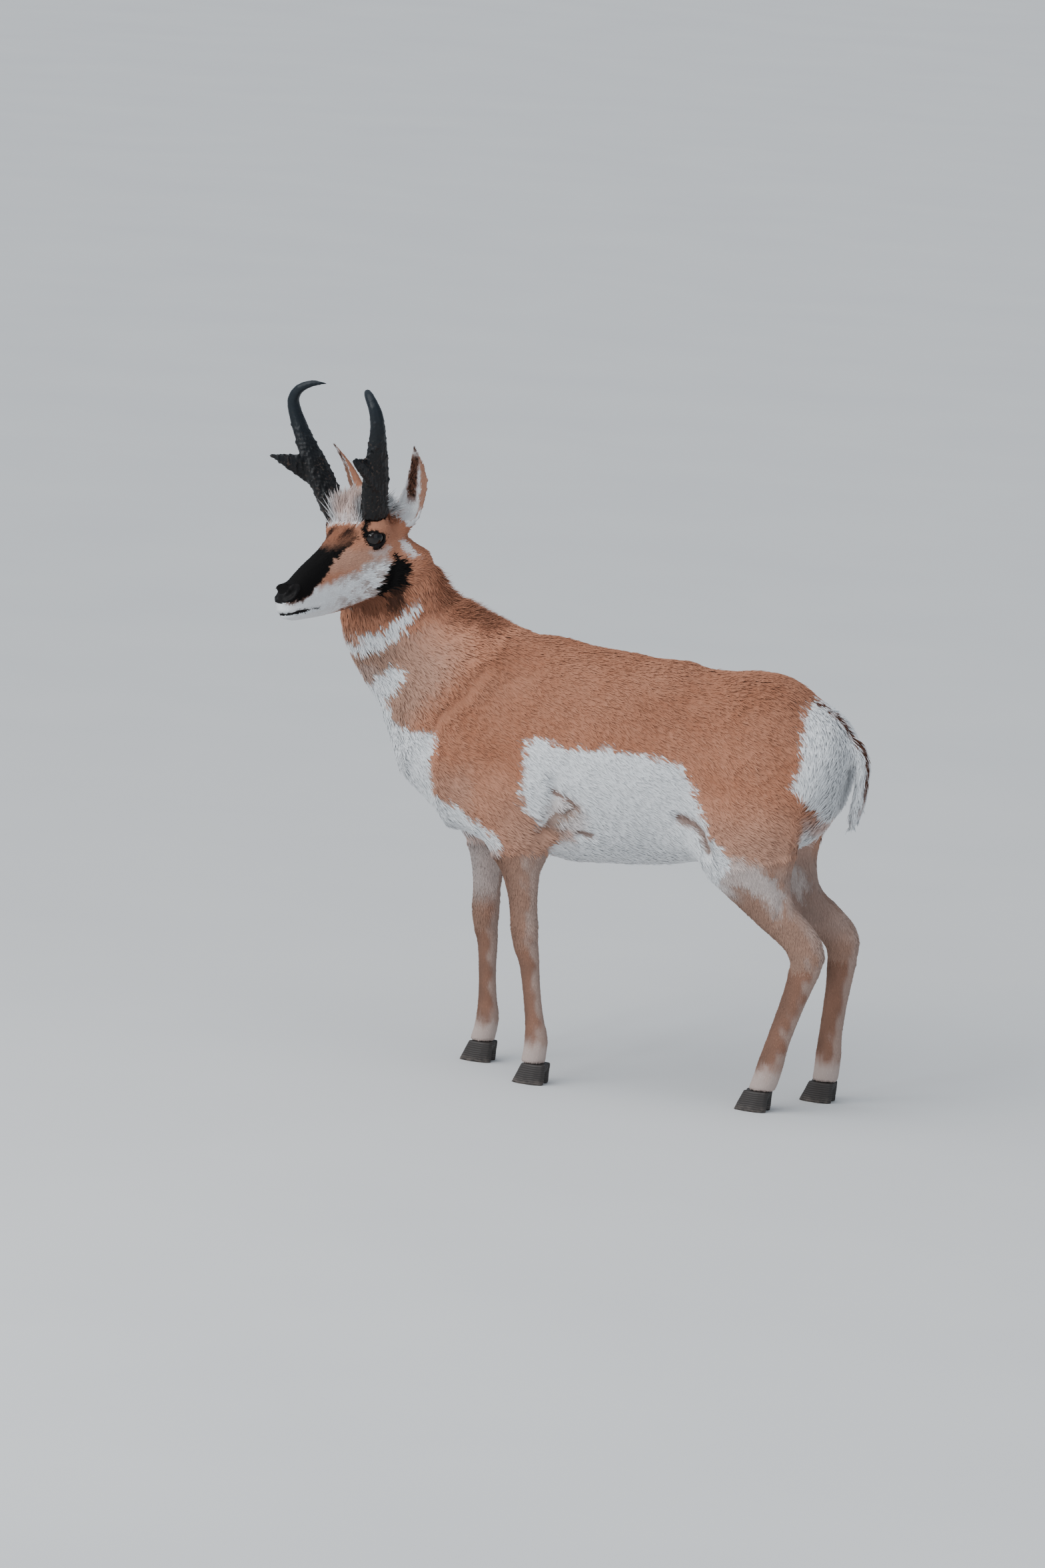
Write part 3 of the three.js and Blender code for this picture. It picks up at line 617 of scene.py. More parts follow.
@dataclass(frozen=True)
class Markings:
    """Where the hide is white, black, brown or pale, with painted shade along the trunk's folds.

    The outlines and folds of the trunk are the body's x and z, and the cheek's are the head's. The lines
    of the mouth, nostril, eye's corner and ear's slot are the head's x, y and z on its left side.
    """

    anatomy: Anatomy
    flank: tuple = (
        (-79, 674), (-54, 686), (-20, 673), (57, 675), (110, 681), (163, 676), (215, 668),
        (242, 655), (262, 625), (271, 590), (290, 562), (312, 519), (345, 503), (345, 470),
        (318, 430), (318, 330), (-70, 330), (-60, 480), (-52, 528), (-70, 538), (-82, 568), (-78, 620),
    )
    chest: tuple = (
        (-400, 676), (-339, 671), (-275, 669), (-261, 668), (-262, 650), (-268, 622), (-268, 586),
        (-260, 553), (-243, 541), (-215, 531), (-180, 512), (-150, 496), (-120, 470), (-120, 380),
        (-440, 380), (-440, 676),
    )
    rump: tuple = (
        (452, 805), (459, 765), (464, 738), (466, 714), (472, 692), (463, 667), (451, 640),
        (472, 629), (489, 619), (502, 600), (508, 568), (512, 520), (640, 520), (640, 820),
    )
    thigh: tuple = (
        (300, 520), (334, 500), (374, 495), (412, 483), (440, 457), (458, 424), (444, 380),
        (411, 418), (360, 444), (320, 400),
    )
    # Paths of the trunk's folds and their widths, along which shade is painted into the hide.
    folds: tuple = (
        (((-14, 578), (12, 570), (34, 556)), 8.0),
        (((34, 556), (14, 540), (-10, 530), (-26, 505)), 12.0),
        (((30, 505), (62, 500)), 8.0),
        (((238, 556), (266, 548), (288, 530), (302, 500)), 13.0),
    )
    cheek_patch: tuple = (
        (48, -14), (38, -34), (34, -54), (46, -75), (52, -106), (118, -104), (108, -88),
        (98, -70), (86, -58), (74, -45), (56, -32),
    )
    mask_line: tuple = (
        (320, -30), (304, -42), (293, -50), (271, -52), (243, -41), (213, -26), (200, -15),
        (174, 3), (147, 14), (135, 20), (118, 36),
    )
    cheek_line: tuple = (
        (262, -51), (217, -38), (193, -38), (146, -35), (108, -24), (79, -24), (60, -28),
    )
    mouth_line: tuple = ((307, 0, -66), (300, 12, -67), (280, 23, -69), (255, 27, -73), (225, 29, -77))
    nostril: tuple = ((309, 6, -33), (303, 13, -34), (293, 21, -31), (281, 26, -22), (273, 28, -17))
    eye_corner: tuple = ((108, 54, 34), (104, 56, 50), (94, 60, 62))
    ear_slot: tuple = ((44, 66, -6), (40, 68, -34))
    lid_width: float = 5.0
    coarse: float = 5.0
    fine: float = 2.2

    def bare(self, body: np.ndarray) -> np.ndarray:
        """Where the skin is naked and dark: the nose, the lips' edge and the lids.

        Args:
            body: Body millimetres.

        Returns:
            A share from 0 to 1 a place.
        """
        head = mirrored(self.anatomy.head(body))
        x, y, z = head.T
        mouth = step(4.4, 2.4, from_path(head, self.mouth_line))
        nostril = step(12, 8, from_path(head, self.nostril))
        nose = step(292, 300, x) * step(13, 8, y) * step(-48, -43, z)
        rim = self.anatomy.eye_radius + self.lid_width
        lids = step(rim, rim - 2, self.anatomy.from_eye(head))
        return np.maximum.reduce([mouth, nostril, nose, lids])

    def paint(self, body: np.ndarray, normals: np.ndarray, parts: np.ndarray) -> np.ndarray:
        """The markings at places on the hide.

        Args:
            body: Body millimetres.
            normals: The way the hide faces there.
            parts: The number of the region there.

        Returns:
            Shares of white, black, brown and pale, one row a place.
        """
        ragged = body + self.coarse * wander(body, 16, seeds=(3, 5, 7))
        ragged = ragged + self.fine * wander(body, 5, seeds=(13, 15, 17))
        rules = (
            (self.paint_trunk, (Part.TORSO, Part.UPPER)),
            (self.paint_limbs, (Part.UPPER, Part.SHIN)),
            (self.paint_tail, (Part.TAIL,)),
            (self.paint_neck, (Part.NECK,)),
            (self.paint_head, (Part.HEAD,)),
            (self.paint_ear, (Part.EAR_LEFT,)),
            (self.paint_ear, (Part.EAR_RIGHT,)),
        )
        marks = np.zeros((len(body), 4))
        for rule, regions in rules:
            mask = among(parts, *regions)
            if mask.any():
                fresh = rule(ragged[mask], body[mask], normals[mask])
                marks[mask] = np.maximum(marks[mask], fresh)
        return np.clip(marks, 0, 1)

    def paint_trunk(self, rough: np.ndarray, body: np.ndarray, normals: np.ndarray) -> np.ndarray:
        """The flank and belly, the chest, the rump, the stripe over it, the pale thigh and painted shade
        along the folds.

        Args:
            rough: Body millimetres, unevenly shifted, for ragged edges.
            body: Body millimetres.
            normals: The way the hide faces there.

        Returns:
            Shares of white, black, brown and pale, one row a place.
        """
        flat = rough[:, [0, 2]]
        flank = self.within(flat, self.flank)
        flank *= 1 - step(30, 10, body[:, 0]) * step(518, 498, body[:, 2])
        chest = self.within(flat, self.chest) * step(435, 465, body[:, 2])
        rump = self.within(flat, self.rump)
        under = step(-0.35, -0.75, normals[:, 2]) * step(600, 560, body[:, 2])
        under *= step(380, 430, body[:, 2]) * step(-70, -30, body[:, 0])
        stripe = step(10, 5, np.abs(rough[:, 1] + 3)) * step(690, 715, body[:, 2])
        torso = np.maximum.reduce([flank, chest, rump * (1 - stripe), under])
        inner = step(0.25, 0.6, -normals[:, 1] * np.sign(body[:, 1])) * step(300, 360, body[:, 2])
        inner *= 0.35 + 0.65 * step(120, 60, body[:, 0])
        thigh = self.within(flat, self.thigh, (10, -14)) * 0.75
        white = np.maximum(torso * step(395, 440, body[:, 2]), inner * 0.3)
        fade = step(640, 480, rough[:, 2]) * step(-260, -60, rough[:, 0] + 0.2 * (rough[:, 2] - 600))
        fade = np.maximum(fade * 0.45, thigh)
        fade = np.maximum(fade, step(640, 560, rough[:, 2]) * step(-150, -200, rough[:, 0]) * 0.35)
        brown = 0.25 * step(600, 740, rough[:, 2]) * step(-0.2, 0.6, normals[:, 2])
        brown = stripe * rump * 0.75 + brown
        # Painted shade: along the folds the white is dulled and black and brown are added.
        fold = np.maximum.reduce([self.crease(body, path, wide) for path, wide in self.folds])
        white = white * (1 - 0.8 * fold)
        elbow = step(60, 20, np.hypot(body[:, 0] - 8, 1.2 * (body[:, 2] - 535))) * 0.7
        white = np.maximum(white, 0.5 * thigh) * (1 - 0.55 * elbow)
        return np.stack([white, fold * 0.35, brown + fold * 0.4, np.maximum(fade, elbow)], 1)

    def within(self, flat: np.ndarray, outline: tuple, border: tuple = (4, -5)) -> np.ndarray:
        """A share that rises from 0 to 1 over the border of an outline."""
        return step(*border, outside(flat, outline))

    def crease(self, body: np.ndarray, path: tuple, wide: float) -> np.ndarray:
        """A soft share of painted shade along one fold, seen from the side."""
        return step(wide, wide * 0.25, from_path(body[:, [0, 2]], path))

    def paint_limbs(self, rough: np.ndarray, body: np.ndarray, normals: np.ndarray) -> np.ndarray:
        """The legs: tan in front and outside, pale behind, inside and above the hooves.

        Args:
            rough: Body millimetres, unevenly shifted, for ragged edges.
            body: Body millimetres.
            normals: The way the hide faces there.

        Returns:
            Shares of white, black, brown and pale, one row a place.
        """
        low = step(520, 440, body[:, 2])
        rear = step(0.15, 0.75, normals[:, 0] + 0.25 * ripple(body, 40, seed=23))
        inner = step(0.2, 0.8, -normals[:, 1] * np.sign(body[:, 1]))
        foot = step(100, 64, rough[:, 2])
        joint = step(0.55, 1.1, 1.0 + 0.5 * ripple(body, 60, seed=29))
        joint = joint * step(330, 300, rough[:, 2]) * step(230, 290, rough[:, 2])
        pale = np.maximum.reduce([rear * 0.5, inner * 0.22, foot * 0.75, joint * 0.3]) * low
        pale = np.maximum(pale, 0.22 * low)
        brown = low * (0.66 + 0.24 * step(0.3, -0.7, normals[:, 0]) + 0.06 * ripple(body, 50, seed=31))
        brown = brown * (1 - 0.5 * foot)
        white = np.maximum(rear * 0.12, foot * 0.3) * low
        return np.stack([white, np.zeros_like(white), brown, pale], 1)

    def paint_tail(self, rough: np.ndarray, body: np.ndarray, normals: np.ndarray) -> np.ndarray:
        """The tail: brown down its middle on top, and white at its edges and beneath.

        Args:
            rough: Body millimetres, unevenly shifted, for ragged edges.
            body: Body millimetres, which this rule does not use.
            normals: The way the hide faces there.

        Returns:
            Shares of white, black, brown and pale, one row a place.
        """
        top = step(11, 5, np.abs(rough[:, 1] - 0.5)) * step(0.1, 0.5, normals[:, 0])
        top = top * step(560, 640, rough[:, 2])
        return np.stack([1 - top, top * 0.15, top * 0.9, np.zeros_like(top)], 1)

    def paint_neck(self, rough: np.ndarray, body: np.ndarray, normals: np.ndarray) -> np.ndarray:
        """The neck's white bands, the brown between them and the dark mane.

        Args:
            rough: Body millimetres, unevenly shifted, for ragged edges.
            body: Body millimetres, which this rule does not use.
            normals: The way the hide faces there, which this rule does not use.

        Returns:
            Shares of white, black, brown and pale, one row a place.
        """
        along, angle, _ = self.anatomy.neck(rough)
        degrees = [0, 12, 34, 51, 69, 79, 94, 106, 109]
        high = np.interp(angle, degrees, [226, 228, 236, 246, 263, 279, 285, 285, 282])
        low = np.interp(angle, degrees, [197, 197, 201, 209, 213, 222, 259, 274, 281])
        upper = step(-2, 3, high - along) * step(-2, 3, along - low) * step(110, 106, angle)
        degrees = [0, 20, 39, 50, 55, 58]
        high = np.interp(angle, degrees, [175, 175, 170, 160, 152, 146])
        low = np.interp(angle, degrees, [112, 124, 128, 130, 138, 145])
        lower = step(-2, 4, high - along) * step(-2, 4, along - low) * step(60, 56, angle)
        strip = step(16, 9, angle) * step(130, 120, along)
        chest = self.within(rough[:, [0, 2]], self.chest)
        white = np.maximum.reduce([upper, lower, strip, chest])
        throat = step(96, 60, angle) * step(262, 284, along)
        between = step(96, 50, angle) * step(215, 196, along) * step(168, 176, along)
        lowest = step(70, 40, angle) * step(128, 116, along) * step(50, 70, along)
        mane = step(148, 168, angle) * step(40, 90, along)
        brown = np.maximum.reduce([throat * 0.8, between * 0.6, lowest * 0.35, mane * 0.2])
        brown = np.maximum(brown * (1 - white), 0.12 * step(110, 60, angle))
        black = step(52, 60, angle) * step(86, 76, angle) * step(272, 292, along) * 0.85
        fade = 0.5 * step(150, 80, angle) * step(250, 200, along) * step(20, 80, along)
        return np.stack([white, black, brown, fade], 1)

    def paint_head(self, rough: np.ndarray, body: np.ndarray, normals: np.ndarray) -> np.ndarray:
        """The dark muzzle, white cheeks, lips and brow, and the black patch under the ear.

        Args:
            rough: Body millimetres, unevenly shifted, for ragged edges.
            body: Body millimetres.
            normals: The way the hide faces there, which this rule does not use.

        Returns:
            Shares of white, black, brown and pale, one row a place.
        """
        head = mirrored(self.anatomy.head(body + 0.5 * (rough - body)))
        x, y, z = head.T
        order = np.array(self.mask_line)[::-1]
        edge = np.interp(x, order[:, 0], order[:, 1])
        upper = step(-2, 3, z - edge)
        crest = step(140, 182, x + 1.6 * np.maximum(y - 14, 0))
        dark = upper * crest * step(112, 124, x)
        smear = upper * step(108, 122, x) * (1 - crest) * (0.5 + 0.45 * step(8, 22, y))
        line = np.array(self.cheek_line)[::-1]
        jaw = step(9, -9, z - np.interp(x, line[:, 0], line[:, 1]) + 3 * ripple(body, 22, seed=43))
        jaw = jaw * step(58, 72, x - 0.25 * (z + 40)) * step(12, 24, y + 0.2 * (x - 150))
        lips = step(3, -2, z - edge) * step(216, 236, x)
        chin = step(225, 240, x) * step(-60, -66, z)
        brow = step(112, 102, x) * step(46, 52, z + 0.1 * (60 - y)) * step(52, 44, y)
        band = step(16, 6, np.abs(x - 66)) * step(34, 22, y) * 0.4
        streak = step(13, 6, np.abs(x - 20)) * step(2, -6, z) * step(-44, -34, z) * step(44, 52, y)
        tip = step(301, 306, x) * step(-46, -50, z)
        under_eye = step(36, 30, np.hypot(x - 80, z - 14)) * step(2, -8, z) * 0.35
        white = np.maximum.reduce([jaw, lips, chin, brow * (1 - band), streak * 0.8, tip, under_eye])
        dapple = jaw * step(215, 150, x) * step(-0.2, 0.9, ripple(body, 17, seed=41)) * 0.75
        cream = step(34, 8, np.abs(z + 18 - 0.2 * (x - 90))) * step(60, 90, x) * step(240, 200, x) * 0.4
        patch = self.within(head[:, [0, 2]], self.cheek_patch, (3, -3)) * step(26, 34, y)
        throat = step(-90, -98, z) * step(190, 170, x)
        rim = self.anatomy.eye_radius + self.lid_width
        ring = step(rim, rim - 1.5, self.anatomy.from_eye(head))
        corner = step(9, 4, from_path(head, self.eye_corner))
        root = np.hypot(x - self.anatomy.horn_root[0], y - self.anatomy.horn_root[1])
        socket = step(40, 34, root) * step(50, 56, z) * step(70, 60, z)
        slot = step(5, 1, from_path(head, self.ear_slot))
        lips_edge = step(3.6, 2.0, from_path(head, self.mouth_line))
        side_smear = smear * 0.8 * step(8, 22, y) * step(48, 36, y)
        black = np.maximum.reduce([dark, lips_edge, patch, ring, corner])
        black = np.maximum.reduce([black, side_smear, slot * 0.8, socket * 0.6, dapple * 0.4])
        back = step(20, -20, x) * step(-60, -20, z)
        brown = np.maximum.reduce([smear, throat * 0.7, band, back * 0.2, dapple * 0.35])
        white = white * (1 - np.maximum.reduce([patch, ring, throat, corner])) * (1 - 0.8 * dapple)
        return np.stack([white, black, brown, np.maximum(under_eye + dapple, cream)], 1)

    def paint_ear(self, rough: np.ndarray, body: np.ndarray, normals: np.ndarray) -> np.ndarray:
        """The ears: white inside with a dark cleft, tan behind, dark at the tip and rim.

        Args:
            rough: Body millimetres, unevenly shifted, for ragged edges.
            body: Body millimetres.
            normals: The way the hide faces there.

        Returns:
            Shares of white, black, brown and pale, one row a place.
        """
        places = self.anatomy.head(body + 0.3 * (rough - body))
        side = "left" if np.median(places[:, 1]) > 0 else "right"
        rise, across = self.anatomy.ear(side, places)
        facing = unit(np.array(self.anatomy.ear_facing[side]))
        across = across * SIDES[side]
        inside = step(0.0, 0.3, self.anatomy.head_ways(normals) @ facing)
        high = step(0.1, 0.3, rise) * step(0.93, 0.8, rise)
        cleft = inside * step(12, 6, np.abs(across - 7 + 3 * rise)) * high
        rim = step(19, 23, across + 9 * step(0.5, 0.9, rise)) * step(0.02, 0.12, rise)
        tip = step(0.9, 0.96, rise)
        root = step(0.14, 0.02, rise) * step(12, 2, across)
        white = np.maximum(inside * (1 - cleft) * (1 - rim), root * 0.85) * (1 - tip)
        edge = (1 - inside) * step(0.35, 0.9, rise) * 0.3
        brown = np.maximum.reduce([edge, tip * 0.8, rim * inside * 0.25])
        hair = 0.65 + 0.35 * step(-0.6, 0.8, ripple(body * (1, 1, 0.25), 4, seed=47))
        return np.stack([white, np.maximum(cleft * hair, tip * 0.5), brown, rim * inside * 0.3], 1)


@dataclass
class Value:
    """A socket whose maths is written as an expression."""

    graph: "Graph"
    socket: bpy.types.NodeSocket

    def maths(self, operation: str, first: object, second: object) -> "Value":
        """Adds one Math node."""
        node = self.graph.node("ShaderNodeMath", {"operation": operation}, {0: first, 1: second})
        return Value(self.graph, node.outputs[0])

    def __add__(self, other: object) -> "Value":
        """This plus other."""
        return self.maths("ADD", self, other)

    __radd__ = __add__

    def __sub__(self, other: object) -> "Value":
        """This less other."""
        return self.maths("SUBTRACT", self, other)

    def __rsub__(self, other: object) -> "Value":
        """Other less this."""
        return self.maths("SUBTRACT", other, self)

    def __mul__(self, other: object) -> "Value":
        """This times other."""
        return self.maths("MULTIPLY", self, other)

    __rmul__ = __mul__


class Graph:
    """The nodes of one material."""

    def __init__(self, name: str) -> None:
        """Starts an empty material of this name.

        Args:
            name: The material's name.
        """
        self.material = bpy.data.materials.new(name)
        self.material.use_nodes = True
        self.tree = self.material.node_tree
        self.tree.nodes.clear()

    def node(
        self, kind: str, settings: dict | None = None, sockets: dict | None = None
    ) -> bpy.types.Node:
        """Adds a node.

        Args:
            kind: The node's type.
            settings: Its properties, set first.
            sockets: Values or links of its inputs, by name or number.

        Returns:
            The new node.
        """
        made = self.tree.nodes.new(kind)
        for key, setting in (settings or {}).items():
            setattr(made, key, setting)
        for key, value in (sockets or {}).items():
            if isinstance(value, Value):
                self.tree.links.new(value.socket, made.inputs[key])
            elif isinstance(value, tuple) and len(value) == 3 and made.inputs[key].type == "RGBA":
                made.inputs[key].default_value = (*value, 1)
            else:
                made.inputs[key].default_value = value
        return made

    def out(self, node: bpy.types.Node, name: str | int = 0) -> Value:
        """One output of a node."""
        return Value(self, node.outputs[name])

    def channels(self, name: str) -> list[Value]:
        """The four numbers of a colour attribute.

        Args:
            name: The attribute's name.

        Returns:
            The numbers in order.
        """
        stored = self.node("ShaderNodeAttribute", {"attribute_name": name})
        parted = self.node("ShaderNodeSeparateColor", None, {0: self.out(stored, "Color")})
        return [self.out(parted, i) for i in range(3)] + [self.out(stored, "Alpha")]

    def place(self) -> Value:
        """Where a point lies on the piece."""
        return self.out(self.node("ShaderNodeTexCoord"), "Object")

    def noise(self, scale: float, detail: float = 3, stretch: tuple = (1, 1, 1)) -> Value:
        """Uneven cloud-like values.

        Args:
            scale: How many swells to a metre.
            detail: How many finer layers.
            stretch: How the pattern is drawn out along each axis.

        Returns:
            Values about one half.
        """
        mapped = self.node("ShaderNodeMapping", None, {"Vector": self.place(), "Scale": stretch})
        sockets = {"Vector": self.out(mapped), "Scale": scale, "Detail": detail}
        return self.out(self.node("ShaderNodeTexNoise", None, sockets), "Fac")

    def between(self, low: float, high: float, value: Value) -> Value:
        """A value stretched so that low is 0 and high is 1, held between them.

        Args:
            low: What becomes 0.
            high: What becomes 1.
            value: The value.

        Returns:
            The stretched value.
        """
        settings = {"clamp": True}
        sockets = {"Value": value, "From Min": low, "From Max": high}
        return self.out(self.node("ShaderNodeMapRange", settings, sockets))

    def blend(self, share: object, first: object, second: object, way: str = "MIX") -> Value:
        """Two colours mixed by a share."""
        settings = {"data_type": "RGBA", "blend_type": way}
        sockets = {MIX_SHARE: share, MIX_FIRST: first, MIX_SECOND: second}
        return self.out(self.node("ShaderNodeMix", settings, sockets), MIX_COLOUR)

    def grey(self, value: Value) -> Value:
        """A value as a grey colour.

        Args:
            value: How light it is.

        Returns:
            The colour.
        """
        return self.out(
            self.node("ShaderNodeCombineColor", None, {"Red": value, "Green": value, "Blue": value})
        )

    def bump(self, height: Value, strength: float, distance: float) -> Value:
        """Bent normals from a height."""
        sockets = {"Height": height, "Strength": strength, "Distance": distance}
        return self.out(self.node("ShaderNodeBump", None, sockets))

    def finish(self, sockets: dict) -> bpy.types.Material:
        """Closes the material with one surface shader of these sockets.

        Args:
            sockets: Values or links of the shader's inputs.

        Returns:
            The finished material.
        """
        shader = self.node("ShaderNodeBsdfPrincipled", None, sockets)
        end = self.tree.nodes.new("ShaderNodeOutputMaterial")
        self.tree.links.new(shader.outputs[0], end.inputs["Surface"])
        return self.material


@dataclass(frozen=True)
class CoatFinish:
    """The hair's colours, shared by the skin under it and every tuft, with painted shade towards the
    roots.
    """

    tan: tuple = (0.56, 0.262, 0.165)
    rust: tuple = (0.37, 0.145, 0.080)
    white: tuple = (0.80, 0.81, 0.82)
    brown: tuple = (0.085, 0.030, 0.016)
    black: tuple = (0.0028, 0.0022, 0.0022)
    pale: tuple = (0.50, 0.345, 0.27)
    roughness: float = 0.9

    def material(self, name: str, bumpy: bool) -> bpy.types.Material:
        """Makes the material.

        Args:
            name: Its name.
            bumpy: Whether fine hair is raised in the surface, as on the skin.

        Returns:
            The material.
        """
        g = Graph(name)
        white, black, brown, pale = g.channels("marks")
        along, chance, lock, _ = g.channels("strand")
        cloud = g.between(0.35, 0.65, g.noise(9, 3))
        colour = g.blend(cloud * 0.4 + lock * 0.25 + chance * 0.3, self.tan, self.rust)
        colour = g.blend(brown, colour, self.brown)
        colour = g.blend(pale, colour, self.pale)
        colour = g.blend(white, colour, self.white)
        colour = g.blend(black, colour, self.black)
        # Painted shade: each tuft is darker at its root and lighter towards its tip, times a random tone
        # of its own.
        shade = (0.76 + 0.27 * along) * (0.88 + 0.2 * chance)
        colour = g.blend(1.0, colour, g.grey(shade), "MULTIPLY")
        rough = self.roughness - 0.12 * chance
        sockets = {"Base Color": colour, "Roughness": rough, "Specular IOR Level": 0.14}
        if bumpy:
            hair = g.noise(520, 4, (1, 1, 0.35)) + 0.6 * g.noise(140, 2)
            sockets["Normal"] = g.bump(hair, 0.5, 0.0015)
        return g.finish(sockets)


@dataclass(frozen=True)
class BareFinish:
    """Naked dark skin of the nose, lips and lids."""

    colour: tuple = (0.004, 0.0035, 0.0035)
    sheen: tuple = (0.012, 0.010, 0.010)

    def material(self, name: str) -> bpy.types.Material:
        """Makes the material.

        Args:
            name: Its name.

        Returns:
            The material.
        """
        g = Graph(name)
        pebble = g.node("ShaderNodeTexVoronoi", None, {"Vector": g.place(), "Scale": 520})
        pebble = g.out(pebble, "Distance")
        colour = g.blend(g.between(0.4, 0.7, g.noise(120, 3)), self.colour, self.sheen)
        return g.finish(
            {
                "Base Color": colour,
                "Roughness": 0.42 + 0.25 * g.noise(160, 2),
                "Normal": g.bump(pebble, 0.35, 0.0008),
                "Specular IOR Level": 0.14,
            }
        )


@dataclass(frozen=True)
class HornFinish:
    """Black horn sheath with a painted bluish reflection above and rough brown flecks below."""

    black: tuple = (0.0035, 0.0035, 0.004)
    painted_reflection_blue: tuple = (0.007, 0.012, 0.017)
    fleck: tuple = (0.075, 0.050, 0.038)

    def material(self, name: str) -> bpy.types.Material:
        """Makes the material, which reads how far up the horn a point lies.

        Args:
            name: Its name.

        Returns:
            The material.
        """
        g = Graph(name)
        rise = g.out(g.node("ShaderNodeAttribute", {"attribute_name": "rise"}), "Fac")
        # Painted reflection: higher up the horn its colour turns bluish.
        colour = g.blend(g.between(0.45, 0.9, rise), self.black, self.painted_reflection_blue)
        specks = g.between(0.56, 0.68, g.noise(210, 5))
        worn = g.between(0.42, 0.62, g.noise(26, 3)) * g.between(0.95, 0.45, rise)
        fleck = specks * worn
        colour = g.blend(fleck * 0.85, colour, self.fleck)
        rough = 0.36 + 0.32 * fleck + 0.16 * g.noise(90, 3)
        ridges = g.noise(150, 4, (1, 1, 0.16)) + 0.5 * g.noise(420, 3)
        return g.finish(
            {
                "Base Color": colour,
                "Roughness": rough,
                "Normal": g.bump(ridges, 0.4, 0.0014),
                "Specular IOR Level": 0.3,
            }
        )


@dataclass(frozen=True)
class HoofFinish:
    """Dark hoof horn with growth rings and a worn, dusty edge."""

    dark: tuple = (0.028, 0.023, 0.021)
    worn: tuple = (0.13, 0.105, 0.09)

    def material(self, name: str) -> bpy.types.Material:
        """Makes the material.

        Args:
            name: Its name.

        Returns:
            The material.
        """
        g = Graph(name)
        height = g.out(g.node("ShaderNodeSeparateXYZ", None, {0: g.place()}), "Z")
        rings = g.node("ShaderNodeTexNoise", None, {"Vector": g.place(), "Scale": 60, "Detail": 2})
        rings = g.out(rings, "Fac")
        bands = g.out(g.node("ShaderNodeMath", {"operation": "SINE"}, {0: height * 1500 + rings * 5}))
        wear = g.between(0.014, 0.0, height) * g.between(0.35, 0.6, g.noise(110, 3))
        colour = g.blend(wear * 0.8 + 0.12 * bands, self.dark, self.worn)
        return g.finish(
            {
                "Base Color": colour,
                "Roughness": 0.45 + 0.3 * g.noise(70, 3),
                "Normal": g.bump(bands * 0.5 + rings, 0.4, 0.0009),
            }
        )


@dataclass(frozen=True)
class EyeFinish:
    """A dark wet eye with a level pupil and a faint brown ring."""

    pupil: tuple = (0.001, 0.001, 0.0015)
    iris: tuple = (0.009, 0.0045, 0.003)
    rim: tuple = (0.002, 0.002, 0.002)

    def material(self, name: str) -> bpy.types.Material:
        """Makes the material, which reads the pupil's and the rim's shares.

        Args:
            name: Its name.

        Returns:
            The material.
        """
        g = Graph(name)
        rim, pupil, _, _ = g.channels("gaze")
        colour = g.blend(rim, self.iris, self.rim)
        colour = g.blend(0.4 * g.noise(900, 3), colour, self.rim)
        colour = g.blend(pupil, colour, self.pupil)
        return g.finish(
            {
                "Base Color": colour,
                "Roughness": 0.06 + 0.05 * g.noise(60, 2),
                "Coat Weight": 0.6,
                "Coat Roughness": 0.02,
                "Specular IOR Level": 0.12,
            }
        )


@dataclass(frozen=True)
class FloorFinish:
    """Plain pale studio floor."""

    pale: tuple = (0.66, 0.66, 0.655)
    deep: tuple = (0.635, 0.635, 0.635)

    def material(self, name: str) -> bpy.types.Material:
        """Makes the material.

        Args:
            name: Its name.

        Returns:
            The material.
        """
        g = Graph(name)
        colour = g.blend(g.between(0.3, 0.7, g.noise(1.5, 3)), self.pale, self.deep)
        rough = 0.85 + 0.1 * g.noise(40, 3)
        return g.finish({"Base Color": colour, "Roughness": rough})


@dataclass
class Hide:
    """The skin's surface as arrays, for the coat that grows on it."""

    points: np.ndarray
    normals: np.ndarray
    parts: np.ndarray
    flow: np.ndarray
    length: np.ndarray
    lift: np.ndarray
    triangles: np.ndarray
    layout: np.ndarray

    def areas(self) -> np.ndarray:
        """Twice the area of each triangle."""
        a, b, c = self.points[self.triangles].transpose(1, 0, 2)
        return np.linalg.norm(np.cross(b - a, c - a), axis=1)


@dataclass
class Roots:
    """Places drawn by chance over the skin, each in one of its triangles."""

    hide: Hide
    chosen: np.ndarray
    weights: np.ndarray

    @classmethod
    def drawn(cls, hide: Hide, heavy: np.ndarray, count: int, draw: np.random.Generator) -> "Roots":
        """Draws the places.

        Args:
            hide: The skin's surface.
            heavy: How likely each triangle is to be drawn.
            count: How many places.
            draw: The source of chance.

        Returns:
            The places.
        """
        chosen = np.searchsorted(np.cumsum(heavy) / heavy.sum(), draw.uniform(0, 1, count))
        chosen = np.minimum(chosen, len(heavy) - 1)
        r = draw.uniform(0, 1, (2, count))
        r = np.where(r.sum(0) > 1, 1 - r, r)
        return cls(hide, chosen, np.stack([1 - r[0] - r[1], r[0], r[1]], 1))

    def blend(self, values: np.ndarray) -> np.ndarray:
        """A number or a row of numbers at each place, from those of the skin's vertices."""
        return self.mixed(values[self.hide.triangles[self.chosen]])

    def mixed(self, corners: np.ndarray) -> np.ndarray:
        """The mean of each place's three corners, by its weights."""
        return (corners * self.weights.reshape(-1, 3, *[1] * (corners.ndim - 2))).sum(1)

    def layout(self) -> np.ndarray:
        """Where each place lies on the skin's flat map."""
        return self.mixed(self.hide.layout[self.chosen])

    def parts(self) -> np.ndarray:
        """The region of each place."""
        return self.hide.parts[self.hide.triangles[self.chosen, 0]]


